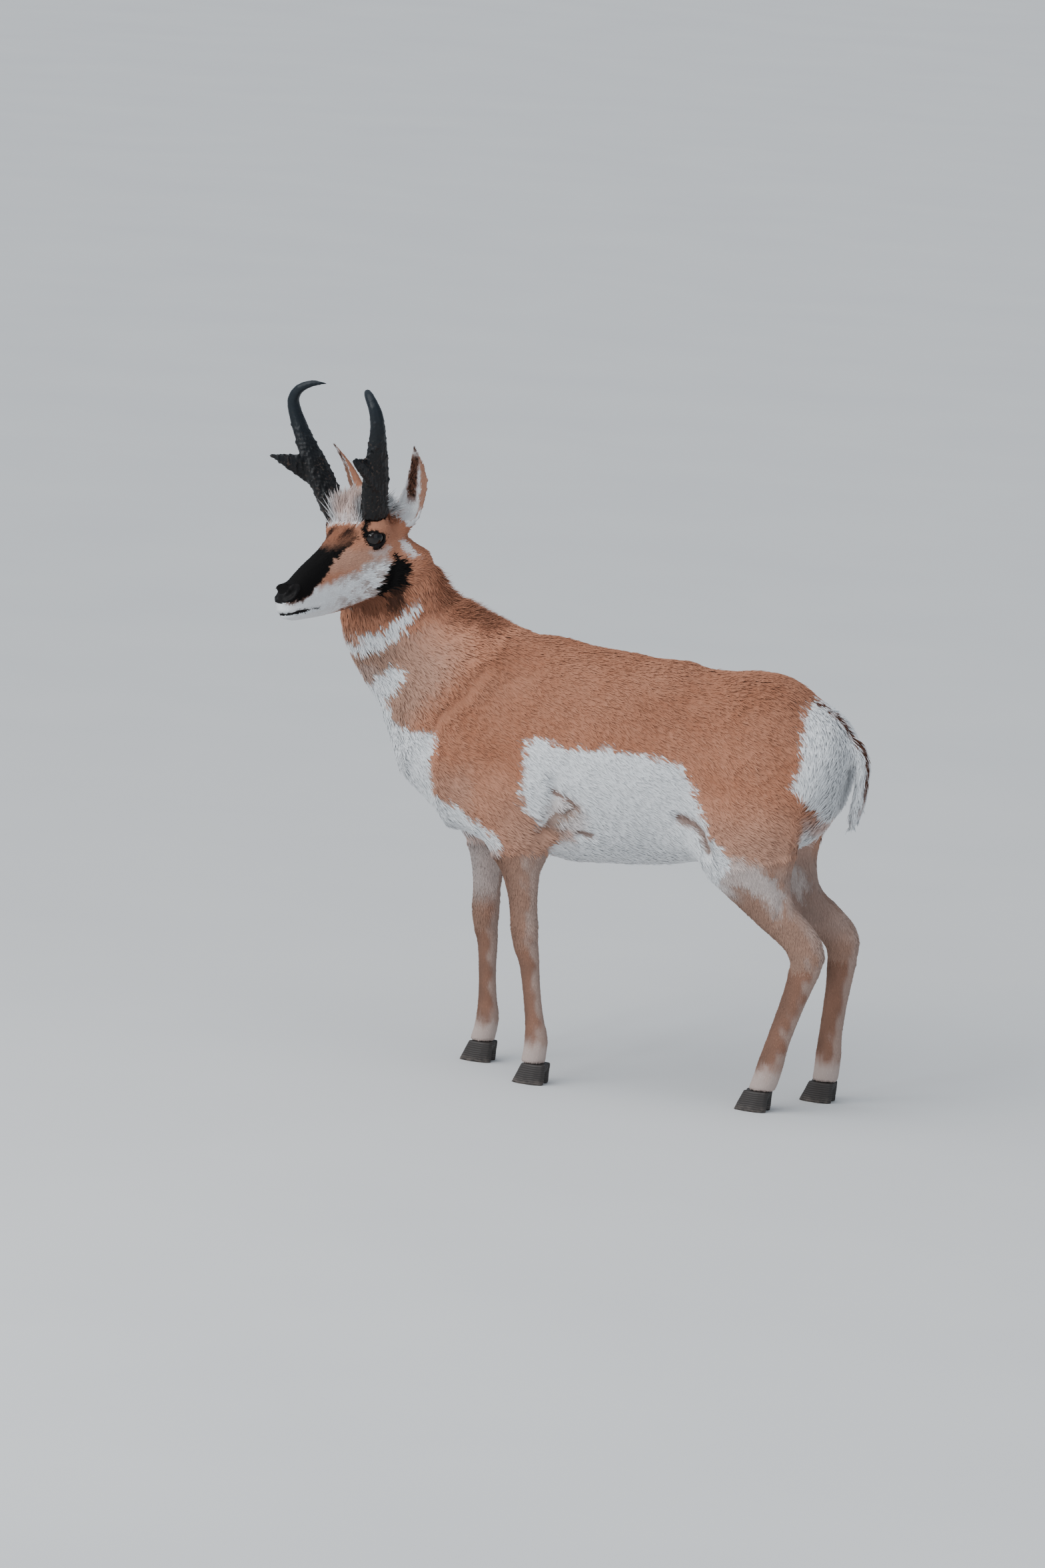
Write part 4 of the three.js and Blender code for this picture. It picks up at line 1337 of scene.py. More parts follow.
@dataclass
class Skin:
    """One closed skin over every part of flesh, a coat's depth inside the solids.

    Its grain and swells are metres, the coat's depth and the hair's length millimetres, and the hair's
    lift degrees. A crease is its path in the body's x and z, its depth and its width to either side.
    """

    anatomy: Anatomy
    markings: Markings
    grain: float = 0.003
    swell: float = 0.0004
    ear_swell: float = 0.0013
    share: float = 0.30
    smooth_rounds: int = 60
    evenness: float = 0.6
    lid_depth: float = 0.25
    lid_reach: float = 12.0
    neck_lean: tuple = (0.25, 0.0, 0.0)
    rump_way: tuple = (0.25, 0.8, -0.75)
    smoothness: dict = field(
        default_factory=lambda: {
            Part.TORSO: 0.7, Part.NECK: 0.7, Part.HEAD: 0.05, Part.TAIL: 0.12,
            Part.EAR_LEFT: 0.015, Part.EAR_RIGHT: 0.015, Part.UPPER: 0.28, Part.SHIN: 0.09,
        }
    )
    coat_depth: dict = field(
        default_factory=lambda: {
            Part.TORSO: 3.4, Part.NECK: 4.6, Part.HEAD: 1.6, Part.TAIL: 3.2,
            Part.EAR_LEFT: 0.0, Part.EAR_RIGHT: 0.0, Part.UPPER: 2.2, Part.SHIN: 1.2,
        }
    )
    hair_length: dict = field(
        default_factory=lambda: {
            Part.TORSO: 16.5, Part.NECK: 20.0, Part.HEAD: 7.5, Part.TAIL: 19.0,
            Part.EAR_LEFT: 5.5, Part.EAR_RIGHT: 5.5, Part.UPPER: 10.5, Part.SHIN: 6.5,
        }
    )
    hair_lift: dict = field(
        default_factory=lambda: {
            Part.TORSO: 11.5, Part.NECK: 16, Part.HEAD: 11, Part.TAIL: 12,
            Part.EAR_LEFT: 11.5, Part.EAR_RIGHT: 11.5, Part.UPPER: 9, Part.SHIN: 8,
        }
    )
    trunk_way: tuple = (0.85, 0.0, -0.45)
    limb_way: tuple = (0.22, 0.0, -1.0)
    tail_way: tuple = (0.1, 0.0, -1.0)
    face_way: tuple = (-1.0, 0.0, -0.12)
    crown_way: tuple = (-0.6, 0.0, 0.8)
    horn_way: tuple = (0.0, 0.0, 1.0)
    creases: tuple = (
        (((-268, 660), (-250, 700), (-205, 742), (-170, 790)), 5.0, 13.0),
        (((-12, 598), (-10, 570), (-18, 540), (-34, 500)), 9.0, 15.0),
        (((-14, 578), (12, 570), (34, 556), (14, 540), (-10, 530)), 6.0, 9.0),
        (((238, 556), (266, 548), (288, 530), (304, 496)), 9.0, 11.0),
        (((35, 500), (62, 497)), 5.0, 7.0),
        (((-262, 640), (-266, 600), (-262, 560)), 3.0, 12.0),
        (((438, 452), (452, 420), (446, 380)), 5.0, 9.0),
        (((300, 690), (330, 640), (330, 590)), 3.0, 24.0),
    )

    def build(self, frame: dict) -> tuple[bpy.types.Object, Hide]:
        """Makes the skin and its arrays.

        Args:
            frame: The loaded frame.

        Returns:
            The skin's object, and its surface as arrays.
        """
        swells = {node: self.ear_swell if "ear" in node else self.swell for node in HIDE_NODES}
        skin = merged_copy(frame, "skin", swells, self.anatomy)
        tree, owner = self.source(frame)
        apply_remesh(skin, self.grain)
        drop_scraps(skin)
        places, pairs = vertices(skin), edge_pairs(skin)
        parts = self.nearest(places, tree, owner)
        weight = self.spread(parts, pairs, self.smoothness, rounds=12)
        places = relax(places, pairs, weight, self.smooth_rounds)
        set_vertices(skin, places)
        depth = self.spread(parts, pairs, self.coat_depth, rounds=16)
        body = self.anatomy.body(places)
        depth *= self.lid_depth + (1 - self.lid_depth) * self.clear_of_eyes(body)
        body = body - depth[:, None] * vertex_normals(skin)
        body = relax(body, pairs, 0.2 * weight, rounds=6)
        body = self.fold(body, vertex_normals(skin), parts)
        set_vertices(skin, self.anatomy.packed(body))
        self.thin(skin, parts)
        self.unwrap(skin)
        hide = self.survey(skin, tree, owner)
        self.dress(skin, hide)
        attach(skin, BODY)
        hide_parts(*HIDE_NODES)
        return skin, hide

    def source(self, frame: dict) -> tuple[BVHTree, np.ndarray]:
        """The solids' triangles for looking up regions, and the region of each.

        Args:
            frame: The loaded frame.

        Returns:
            A search tree of the triangles, and each one's region number.
        """
        points, faces, owner = [], [], []
        for node, part in HIDE_NODES.items():
            mesh = frame["nodes"][node].data
            start = len(points)
            points += self.anatomy.bent(node, vertices(frame["nodes"][node])).tolist()
            for face in mesh.polygons:
                faces.append([start + i for i in face.vertices])
                owner.append(part.value)
        return BVHTree.FromPolygons(points, faces), np.array(owner)

    def nearest(self, places: np.ndarray, tree: BVHTree, owner: np.ndarray) -> np.ndarray:
        """The region of each place."""
        return owner[[tree.find_nearest(Vector(place))[2] for place in places]]

    def spread(self, parts: np.ndarray, pairs: np.ndarray, table: dict, rounds: int) -> np.ndarray:
        """The numbers of a table by region, made to run smoothly from one to the next."""
        return relax(by_region(table, parts)[:, None], pairs, self.evenness, rounds)[:, 0]

    def clear_of_eyes(self, body: np.ndarray) -> np.ndarray:
        """0 on the lids and 1 away from them."""
        lids = self.anatomy.eye_radius + 4
        return step(lids, lids + self.lid_reach, self.anatomy.from_eye(self.anatomy.head(body)))

    def fold(self, body: np.ndarray, normals: np.ndarray, parts: np.ndarray) -> np.ndarray:
        """Presses the creases of the trunk, the mouth and the nostrils into the skin.

        Args:
            body: Body millimetres.
            normals: The way the hide faces there.
            parts: The number of the region there.

        Returns:
            The pressed places.
        """
        sunk = np.zeros(len(body))
        flat = body[:, [0, 2]]
        side = step(0.1, 0.5, np.abs(normals[:, 1])) * among(parts, Part.TORSO, Part.NECK, Part.UPPER)
        for path, deep, wide in self.creases:
            sunk += self.groove(from_path(flat, path), 0, deep, wide) * side
        head = mirrored(self.anatomy.head(body))
        on_head = among(parts, Part.HEAD)
        mouth = from_path(head, self.markings.mouth_line)
        nostril = from_path(head, self.markings.nostril)
        sunk += on_head * self.groove(mouth, 0, 2.6, 2.6)
        sunk += on_head * self.groove(mouth, 7.5, -1.3, 3.5)
        sunk += on_head * self.groove(nostril, 8.5, -1.4, 3.0)
        body = body - sunk[:, None] * normals
        swell = 1.3 * ripple(body, 130, seed=51) + 0.3 * ripple(body, 60, seed=53)
        return body + (swell * among(parts, Part.TORSO, Part.NECK))[:, None] * normals

    def groove(self, far: np.ndarray, middle: float, deep: float, wide: float) -> np.ndarray:
        """A soft groove's depth at a distance from its line, or a swelling's where deep is less than 0.

        Args:
            far: How far each place lies from the line.
            middle: How far from the line the groove is deepest.
            deep: Its depth there.
            wide: How wide it is to either side.

        Returns:
            One depth a place.
        """
        return deep * np.exp(-(((far - middle) / wide) ** 2))

    def thin(self, skin: bpy.types.Object, parts: np.ndarray) -> None:
        """Takes away vertices where the form is plain, and keeps them on the head.

        Args:
            skin: The skin's object.
            parts: The number of the region of each vertex.
        """
        group = skin.vertex_groups.new(name="plain")
        fine = among(parts, Part.HEAD, Part.EAR_LEFT, Part.EAR_RIGHT)
        group.add([int(i) for i in np.flatnonzero(~fine)], 1.0, "REPLACE")
        activate(skin)
        fewer = skin.modifiers.new("fewer", "DECIMATE")
        fewer.ratio = self.share
        fewer.vertex_group = group.name
        fewer.vertex_group_factor = 1.0
        bpy.ops.object.modifier_apply(modifier=fewer.name)
        skin.vertex_groups.clear()
        edit_whole(skin, bpy.ops.mesh.quads_convert_to_tris)
        shade_round(skin.data)

    def unwrap(self, skin: bpy.types.Object) -> None:
        """Lays the skin out flat."""
        skin.data.uv_layers.new(name=UV_MAP)
        edit_whole(skin, bpy.ops.uv.smart_project, angle_limit=math.radians(70), island_margin=0.001)

    def survey(self, skin: bpy.types.Object, tree: BVHTree, owner: np.ndarray) -> Hide:
        """Reads the finished skin as arrays, with the coat's way and size at each vertex.

        Args:
            skin: The finished skin.
            tree: A search tree of the solids' triangles.
            owner: The region of each triangle.

        Returns:
            The arrays.
        """
        mesh = skin.data
        places, normals, pairs = vertices(skin), vertex_normals(skin), edge_pairs(skin)
        parts = self.nearest(places, tree, owner)
        body = self.anatomy.body(places)
        flow = relax(self.lie(body, parts), pairs, self.evenness, rounds=10)
        length = self.spread(parts, pairs, self.hair_length, rounds=6)
        corners = read(mesh.loops, "vertex_index", 1, np.int32)
        layout = read(mesh.uv_layers[UV_MAP].data, "uv", 2, np.float32).astype(float)
        return Hide(
            points=body,
            normals=normals,
            parts=parts,
            flow=flattened(flow, normals),
            length=length * self.lengthen(body, parts),
            lift=self.raise_hair(body, parts),
            triangles=corners.reshape(-1, 3),
            layout=layout.reshape(-1, 3, 2),
        )

    def lie(self, body: np.ndarray, parts: np.ndarray) -> np.ndarray:
        """The way the hair lies at each place, before it is laid on the surface.

        Args:
            body: Body millimetres.
            parts: The number of the region there.

        Returns:
            One direction a place.
        """
        ways = np.tile(self.trunk_way, (len(body), 1))
        up_neck = self.anatomy.neck(body)[2]
        on_neck, on_head = among(parts, Part.NECK), among(parts, Part.HEAD)
        ways[on_neck] = -up_neck[on_neck] + self.neck_lean
        head = mirrored(self.anatomy.head(body))
        back = np.tile(self.face_way, (len(body), 1))
        crown = step(112, 96, head[:, 0]) * step(44, 56, head[:, 2])
        back = self.turned(back, crown, self.crown_way)
        around = head - np.array(self.anatomy.horn_root)
        near = step(52, 36, np.hypot(around[:, 0], around[:, 1])) * step(46, 56, head[:, 2])
        back = self.turned(back, near, self.horn_way)
        ways[on_head] = self.anatomy.way_from_head(back)[on_head]
        for side, part in (("left", Part.EAR_LEFT), ("right", Part.EAR_RIGHT)):
            ways[among(parts, part)] = self.anatomy.way_from_head(self.anatomy.ear_lean[side])
        ways[among(parts, Part.TAIL)] = self.tail_way
        ways[among(parts, Part.UPPER, Part.SHIN)] = self.limb_way
        rump = step(452, 480, body[:, 0]) * among(parts, Part.TORSO)
        fan = np.tile(self.rump_way, (len(body), 1))
        fan[:, 1] *= np.sign(body[:, 1] + 3)
        ways = self.turned(ways, rump, fan)
        swirl = 0.13 * wander(body, 70, seeds=(61, 62, 63))
        return unit(ways) + swirl * among(parts, Part.TORSO, Part.NECK)[:, None]

    def turned(self, ways: np.ndarray, share: np.ndarray, towards: np.ndarray | tuple) -> np.ndarray:
        """Directions turned by a share of the way towards others."""
        return ways * (1 - share)[:, None] + share[:, None] * np.array(towards)

    def raise_hair(self, body: np.ndarray, parts: np.ndarray) -> np.ndarray:
        """How steeply the hair stands at each place, in degrees."""
        rump = step(450, 490, body[:, 0]) * among(parts, Part.TORSO)
        return by_region(self.hair_lift, parts) + 3 * rump + 1.6 * ripple(body, 24, seed=71)

    def lengthen(self, body: np.ndarray, parts: np.ndarray) -> np.ndarray:
        """How many times longer than its region's usual the hair is.

        Args:
            body: Body millimetres.
            parts: The number of the region there.

        Returns:
            One number a place.
        """
        x, _, z = self.anatomy.head(body).T
        trunk, face = among(parts, Part.TORSO), among(parts, Part.HEAD)
        rump = 0.2 * step(450, 490, body[:, 0]) * trunk
        elbow = 0.5 * step(45, 10, np.hypot(body[:, 0] + 40, body[:, 2] - 505)) * trunk
        crown = 0.9 * step(112, 96, x) * step(46, 54, z) * face
        jaw = 0.6 * step(150, 110, x) * step(-20, -50, z) * face
        muzzle = -0.45 * step(150, 240, x) * face
        brow = -0.35 * (1 - self.clear_of_eyes(body)) * face
        feet = -0.3 * step(120, 60, body[:, 2])
        return np.clip(1 + rump + elbow + crown + jaw + muzzle + brow + feet, 0.4, 2.2)

    def dress(self, skin: bpy.types.Object, hide: Hide) -> None:
        """Stores the markings and gives the naked places their own finish.

        Args:
            skin: The skin's object.
            hide: Its surface as arrays.
        """
        marks = self.markings.paint(hide.points, hide.normals, hide.parts)
        add_marks(skin.data, "marks", marks)
        # The skin counts as a quarter of the way along a tuft, so the finish paints it darker, as
        # painted shade under the coat.
        add_marks(skin.data, "strand", np.tile((0.25, 0.4, 0.5, 1.0), (len(marks), 1)))
        skin.data.materials.append(CoatFinish().material("hide", True))
        skin.data.materials.append(BareFinish().material("bare_skin"))
        bare = self.markings.bare(hide.points) * among(hide.parts, Part.HEAD)
        chosen = bare[hide.triangles].mean(1) > 0.5
        skin.data.polygons.foreach_set("material_index", chosen.astype(np.int32))


@dataclass
class Tufts:
    """Many tufts as arrays: their roots, the way they lie, their sizes and their marks.

    A tuft has three points at its root, three at its middle and one at its tip. Roots are sunk by so
    many millimetres, the lower and upper lengths are shares of the tuft's length, and the foot, waist
    and ridge shares of its width. The patch is a tuft's size on the skin's flat map.
    """

    root: np.ndarray
    normal: np.ndarray
    lie: np.ndarray
    length: np.ndarray
    width: np.ndarray
    lift: np.ndarray
    marks: np.ndarray
    layout: np.ndarray
    seed: int = 1
    tip_fall: float = 0.35
    curl: float = 0.09
    sunk: float = 0.8
    lower: float = 0.52
    upper: float = 0.5
    foot: float = 0.5
    waist: float = 0.42
    ridge: float = 0.28
    patch: float = 0.003

    def piece(self, name: str, keep: slice, anatomy: Anatomy) -> bpy.types.Object:
        """Makes one joined mesh of some of the tufts.

        Args:
            name: The piece's name.
            keep: Which tufts.
            anatomy: The animal's frames.

        Returns:
            The new object.
        """
        root, normal, lie = self.root[keep], self.normal[keep], self.lie[keep]
        length, width = self.length[keep, None], self.width[keep, None]
        draw = np.random.default_rng(self.seed)
        side = unit(np.cross(lie, normal))
        rise = np.radians(self.lift[keep])[:, None]
        root = root - self.sunk * normal
        middle = root + length * self.lower * (lie * np.cos(rise) + normal * np.sin(rise))
        bend = draw.normal(0, self.curl, (len(root), 1))
        tip = middle + length * self.upper * (
            unit(lie + side * bend) * np.cos(rise * self.tip_fall)
            + normal * np.sin(rise * self.tip_fall)
        )
        spine = self.ridge * width * normal
        foot, waist = side * width * self.foot, side * width * self.waist
        corners = np.stack(
            [
                root - foot,
                root + spine * 0.5,
                root + foot,
                middle - waist,
                middle + spine,
                middle + waist,
                tip,
            ],
            1,
        )
        pattern = np.array([(0, 1, 4), (0, 4, 3), (1, 2, 5), (1, 5, 4), (3, 4, 6), (4, 5, 6)])
        count, each = corners.shape[:2]
        faces = (np.arange(count)[:, None, None] * each + pattern).reshape(-1, 3)
        made = mesh_of(name, anatomy.packed(corners.reshape(-1, 3)), faces)
        add_marks(made.data, "marks", np.repeat(self.marks[keep], each, 0))
        chance = draw.uniform(0, 1, count)
        lock = 0.5 + 0.5 * ripple(root, 13, seed=81)
        strand = np.ones((count, each, 4))
        # How far along the tuft each corner lies; the finish paints the root darker and the tip and
        # ridge lighter, as painted shade and painted highlight.
        strand[:, :, 0] = (0.0, 0.1, 0.0, 0.62, 0.7, 0.62, 1.0)
        strand[:, :, 1] = chance[:, None]
        strand[:, :, 2] = np.clip(lock, 0, 1)[:, None]
        add_marks(made.data, "strand", strand.reshape(-1, 4))
        across = np.array([0.0, 0.5, 1.0, 0.1, 0.5, 0.9, 0.5]) - 0.5
        along = np.array([0.0, 0.0, 0.0, 0.5, 0.5, 0.5, 1.0]) - 0.5
        patch = self.patch * np.stack([across, along], 1)
        spots = np.clip(self.layout[keep][:, None] + patch, 0.0, 1.0)
        loops = spots[:, pattern.ravel()].astype(np.float32)
        made.data.uv_layers.new(name=UV_MAP).data.foreach_set("uv", loops.ravel())
        return made


@dataclass
class Coat:
    """The short coat in tufts over the whole skin, smallest on the face and feet.

    Lengths are millimetres and lifts degrees. No tuft grows within horn_foot, which is how far a horn
    reaches fore and aft and to either side of its middle, down to horn_depth below its root.
    """

    anatomy: Anatomy
    markings: Markings
    count: int = 232000
    seed: int = 11
    slimness: float = 0.14
    least_width: float = 0.55
    crowding: float = 1.25
    lifts: tuple = (3, 50)
    uneven_length: float = 0.16
    uneven_way: float = 0.13
    uneven_lift: float = 3.4
    uneven_mark: float = 1.5
    horn_foot: tuple = (30.0, 18.0)
    horn_depth: float = 32.0

    def grow(self, hide: Hide) -> Tufts:
        """Sets the tufts on the skin.

        Args:
            hide: The skin's surface.

        Returns:
            Every tuft, in order of region.
        """
        draw = np.random.default_rng(self.seed)
        usual = np.clip(hide.length[hide.triangles].mean(1), 5, 40)
        roots = Roots.drawn(hide, hide.areas() / usual**self.crowding, self.count, draw)
        parts = roots.parts()
        points, normals = roots.blend(hide.points), unit(roots.blend(hide.normals))
        bare = self.markings.bare(points) * among(parts, Part.HEAD)
        keep = np.flatnonzero((bare < 0.4) & ~self.hidden(points, parts))
        keep = keep[np.argsort(parts[keep], kind="stable")]
        length = roots.blend(hide.length) * draw.normal(1, self.uneven_length, self.count).clip(0.6, 1.5)
        swing = draw.normal(0, self.uneven_way, self.count)[:, None]
        flow = unit(roots.blend(hide.flow))
        flow = unit(flow + swing * np.cross(normals, flow))
        lift = roots.blend(hide.lift) + draw.normal(0, self.uneven_lift, self.count)
        nearby = points + draw.normal(0, self.uneven_mark, points.shape)
        marks = self.markings.paint(nearby, normals, parts)
        width = length * self.slimness + self.least_width
        fields = (points, normals, flow, length, width, lift.clip(*self.lifts), marks, roots.layout())
        return Tufts(*(values[keep] for values in fields), seed=self.seed)

    def hidden(self, points: np.ndarray, parts: np.ndarray) -> np.ndarray:
        """Where a root lies in an eye socket or under a horn.

        Args:
            points: Body millimetres.
            parts: The number of the region there.

        Returns:
            True where no tuft grows.
        """
        head = mirrored(self.anatomy.head(points))
        x, y, z = (head - np.array(self.anatomy.horn_root)).T
        long, wide = self.horn_foot
        horn = (np.hypot(x / long, y / wide) < 1) & (z > -self.horn_depth) & among(parts, Part.HEAD)
        return horn | (self.anatomy.from_eye(head) < self.anatomy.eye_radius + 3)

    def build(self, hide: Hide) -> list[bpy.types.Object]:
        """Makes the coat's pieces, split by region and count.

        Args:
            hide: The skin's surface.

        Returns:
            The pieces.
        """
        tufts = self.grow(hide)
        finish = CoatFinish().material("coat", False)
        total = len(tufts.root)
        bounds = np.linspace(0, total, math.ceil(total / ROW_LIMIT) + 1).astype(int)
        pieces = []
        for i, (start, end) in enumerate(zip(bounds, bounds[1:])):
            piece = tufts.piece(f"coat_{i + 1:02d}", slice(start, end), self.anatomy)
            piece.data.materials.append(finish)
            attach(piece, BODY)
            pieces.append(piece)
            LOG.info("coat piece %s: %d tufts", piece.name, end - start)
        return pieces


class Lock(Enum):
    """Where longer hair stands up."""

    NAPE = "mane"
    BROW = "brow_tuft"
    CROWN = "crown_hair"


@dataclass
class Mane:
    """Longer standing hair: the mane on the nape, the tuft between the horns, the crown behind them.

    The reach is millimetres, and the lifts are degrees at the edge of the hair and in its thick.
    """

    anatomy: Anatomy
    markings: Markings
    counts: dict = field(
        default_factory=lambda: {Lock.NAPE: 11000, Lock.BROW: 4600, Lock.CROWN: 3000}
    )
    reach: dict = field(
        default_factory=lambda: {Lock.NAPE: 31.0, Lock.BROW: 45.0, Lock.CROWN: 17.0}
    )
    lifts: dict = field(
        default_factory=lambda: {Lock.NAPE: (16, 46), Lock.BROW: (34, 62), Lock.CROWN: (15, 34)}
    )
    seed: int = 21
    parting: float = 0.012
    slimness: float = 0.036
    least_width: float = 0.8
    mane_heights: tuple = (0, 60, 120, 180, 330, 380)
    mane_lengths: tuple = (0.3, 0.45, 0.7, 0.85, 0.9, 0.6)

    def share(self, lock: Lock, hide: Hide) -> np.ndarray:
        """How much of this hair grows at each vertex of the skin, from 0 to 1.

        Args:
            lock: Which hair.
            hide: The skin's surface.

        Returns:
            One share a vertex.
        """
        if lock is Lock.NAPE:
            along, angle, _ = self.anatomy.neck(hide.points)
            return step(118, 165, angle) * among(hide.parts, Part.NECK, Part.TORSO) * step(0, 70, along)
        x, y, z = mirrored(self.anatomy.head(hide.points)).T
        on_head = among(hide.parts, Part.HEAD)
        if lock is Lock.BROW:
            return on_head * step(106, 92, x) * step(22, 34, x) * step(38, 46, z) * step(50, 40, y)
        return on_head * step(52, 36, x) * step(-24, -10, x) * step(24, 34, z) * step(74, 62, y)

    def stand(self, lock: Lock, points: np.ndarray) -> np.ndarray:
        """The way this hair leans, before it is laid on the surface.

        Args:
            lock: Which hair.
            points: Body millimetres.

        Returns:
            One direction a place.
        """
        if lock is Lock.NAPE:
            return -self.anatomy.neck(points)[2]
        ways = self.anatomy.head(points) * (0, self.parting, 0)
        way = (-0.9, 0, 0.45) if lock is Lock.BROW else (-0.5, 0, 0.9)
        return self.anatomy.way_from_head(ways + way)

    def build(self, lock: Lock, hide: Hide) -> bpy.types.Object:
        """Makes one kind of standing hair as one joined mesh.

        Args:
            lock: Which hair.
            hide: The skin's surface.

        Returns:
            The piece.
        """
        count, draw = self.counts[lock], np.random.default_rng(self.seed)
        share = self.share(lock, hide)
        roots = Roots.drawn(hide, hide.areas() * share[hide.triangles].mean(1), count, draw)
        points, normals = roots.blend(hide.points), unit(roots.blend(hide.normals))
        flow = unit(self.stand(lock, points)) + draw.normal(0, 0.22, points.shape)
        high = roots.blend(share)
        long = self.reach[lock] * (0.4 + 0.6 * high) * draw.normal(1, 0.15, count).clip(0.6, 1.4)
        if lock is Lock.NAPE:
            long *= np.interp(self.anatomy.neck(points)[0], self.mane_heights, self.mane_lengths)
        lift = np.interp(high, [0, 1], self.lifts[lock]) + draw.normal(0, 5, count)
        marks = self.markings.paint(points, normals, roots.parts())
        if lock is Lock.BROW:
            x, y, _ = mirrored(self.anatomy.head(points)).T
            marks[:, 0] *= 1 - 0.7 * step(26, 10, np.abs(x - 82)) * step(40, 24, y)
            marks[:, 3] = np.maximum(marks[:, 3], 0.6 * (1 - marks[:, 0]))
        browner = draw.uniform(0, 0.22, count) * (marks[:, 0] < 0.5)
        marks[:, 2] = np.clip(marks[:, 2] + browner, 0, 0.8)
        tufts = Tufts(
            root=points,
            normal=normals,
            lie=flattened(flow, normals),
            length=long,
            width=long * self.slimness + self.least_width,
            lift=lift,
            marks=marks,
            layout=roots.layout(),
            seed=self.seed,
            tip_fall=0.8,
            curl=0.2,
        )
        piece = tufts.piece(lock.value, slice(None), self.anatomy)
        piece.data.materials.append(CoatFinish().material(lock.value, False))
        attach(piece, BODY)
        return piece


@dataclass
class Eyes:
    """The two eyeballs with their lids.

    The almond's width, heights and slant are degrees from the eye's middle. A ring of the lid is how
    many times larger than the almond it is, and how many millimetres off the eyeball it lies.
    """

    anatomy: Anatomy
    axis: tuple = (0.24, 0.97, 0.03)
    wide: float = 63.0
    above: float = 36.0
    below: float = 30.0
    rings: tuple = ((1.0, 0.1), (1.0, 0.9), (1.04, 1.6), (1.11, 2.0), (1.22, 1.6), (1.4, -1.0))
    steps: int = 36
    slant: float = 7.0
    upright: tuple = (0.10, 0.0, 1.0)
    bulge: float = 0.06
    clearance: float = 1.012
    pupil: tuple = (0.42, 0.2)

    def axes(self, side: int) -> np.ndarray:
        """The eye's fore, up and outward ways as rows, in the head's frame.

        Args:
            side: 1 on the left and -1 on the right.

        Returns:
            Three rows of one direction each.
        """
        out = unit(on_side(self.axis, side))
        up = np.array(self.upright)
        up = unit(up - up @ out * out)
        return np.stack([np.cross(up, out) * side, up, out])

    def ball(self, name: str, side: int) -> bpy.types.Object:
        """Makes one eyeball with a clear bulge over a level pupil.

        Args:
            name: Which eye.
            side: 1 on the left and -1 on the right.

        Returns:
            The piece.
        """
        deselect()
        bpy.ops.mesh.primitive_uv_sphere_add(segments=64, ring_count=40, radius=1.0)
        ball = bpy.context.view_layer.objects.active
        ball.name = ball.data.name = f"eyeball_{name}"
        local = vertices(ball)
        fore, up, out = local[:, 0], local[:, 1], local[:, 2]
        angle = np.degrees(np.arccos(np.clip(out, -1, 1)))
        bulge = 1 + self.bulge * step(46, 20, angle)
        local = local * bulge[:, None] * self.anatomy.eye_radius
        head = on_side(self.anatomy.eye, side) + local @ self.axes(side)
        set_vertices(ball, self.anatomy.from_head(head))
        if side < 0:
            edit_whole(ball, bpy.ops.mesh.normals_make_consistent, inside=False)
        pupil = step(1.0, 0.8, np.hypot(fore / self.pupil[0], up / self.pupil[1])) * (out > 0)
        rim = step(34, 46, angle)
        add_marks(ball.data, "gaze", np.stack([rim, pupil, np.zeros_like(rim), np.ones_like(rim)], 1))
        shade_round(ball.data)
        ball.data.materials.append(EyeFinish().material(f"eye_{name}"))
        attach(ball, BODY)
        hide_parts(f"eye_{name}")
        return ball

    def opening(self, share: np.ndarray) -> np.ndarray:
        """The almond's edge as two angles, going once round.

        Args:
            share: How far round each place is, from 0 to 1.

        Returns:
            Two angles a place in degrees: forward and up.
        """
        turn = 2 * math.pi * share
        fore = np.cos(turn)
        tall = np.abs(np.sin(turn)) ** 1.25 * np.where(np.sin(turn) > 0, self.above, -self.below)
        return np.stack([fore * self.wide, tall - self.slant * fore], 1)

    def lids(self, name: str, side: int) -> bpy.types.Object:
        """Makes both lids of one eye as a rounded rim that tucks into the skin.

        Args:
            name: Which eye.
            side: 1 on the left and -1 on the right.

        Returns:
            The piece.
        """
        axes = self.axes(side)
        centre = on_side(self.anatomy.eye, side)
        almond = self.opening(np.arange(self.steps) / self.steps)
        rows = []
        for grow, off in self.rings:
            wide, tall = np.radians(almond * grow).T
            way = np.stack(
                [np.sin(wide) * np.cos(tall), np.sin(tall), np.cos(wide) * np.cos(tall)], 1
            )
            rows.append(centre + (way * (self.anatomy.eye_radius * self.clearance + off)) @ axes)
        points = self.anatomy.from_head(np.concatenate(rows))
        n, m = self.steps, len(self.rings)
        i, j = np.meshgrid(np.arange(n), np.arange(m - 1))
        a, b = (i + n * j).ravel(), ((i + 1) % n + n * j).ravel()
        faces = np.stack([a, b, b + n, a + n], 1)
        if side > 0:
            faces = faces[:, ::-1]
        piece = mesh_of(f"lids_{name}", points, faces)
        activate(piece)
        smooth = piece.modifiers.new("round", "SUBSURF")
        smooth.levels = smooth.render_levels = 1
        bpy.ops.object.modifier_apply(modifier=smooth.name)
        piece.data.materials.append(BareFinish().material(f"lid_skin_{name}"))
        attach(piece, BODY)
        return piece


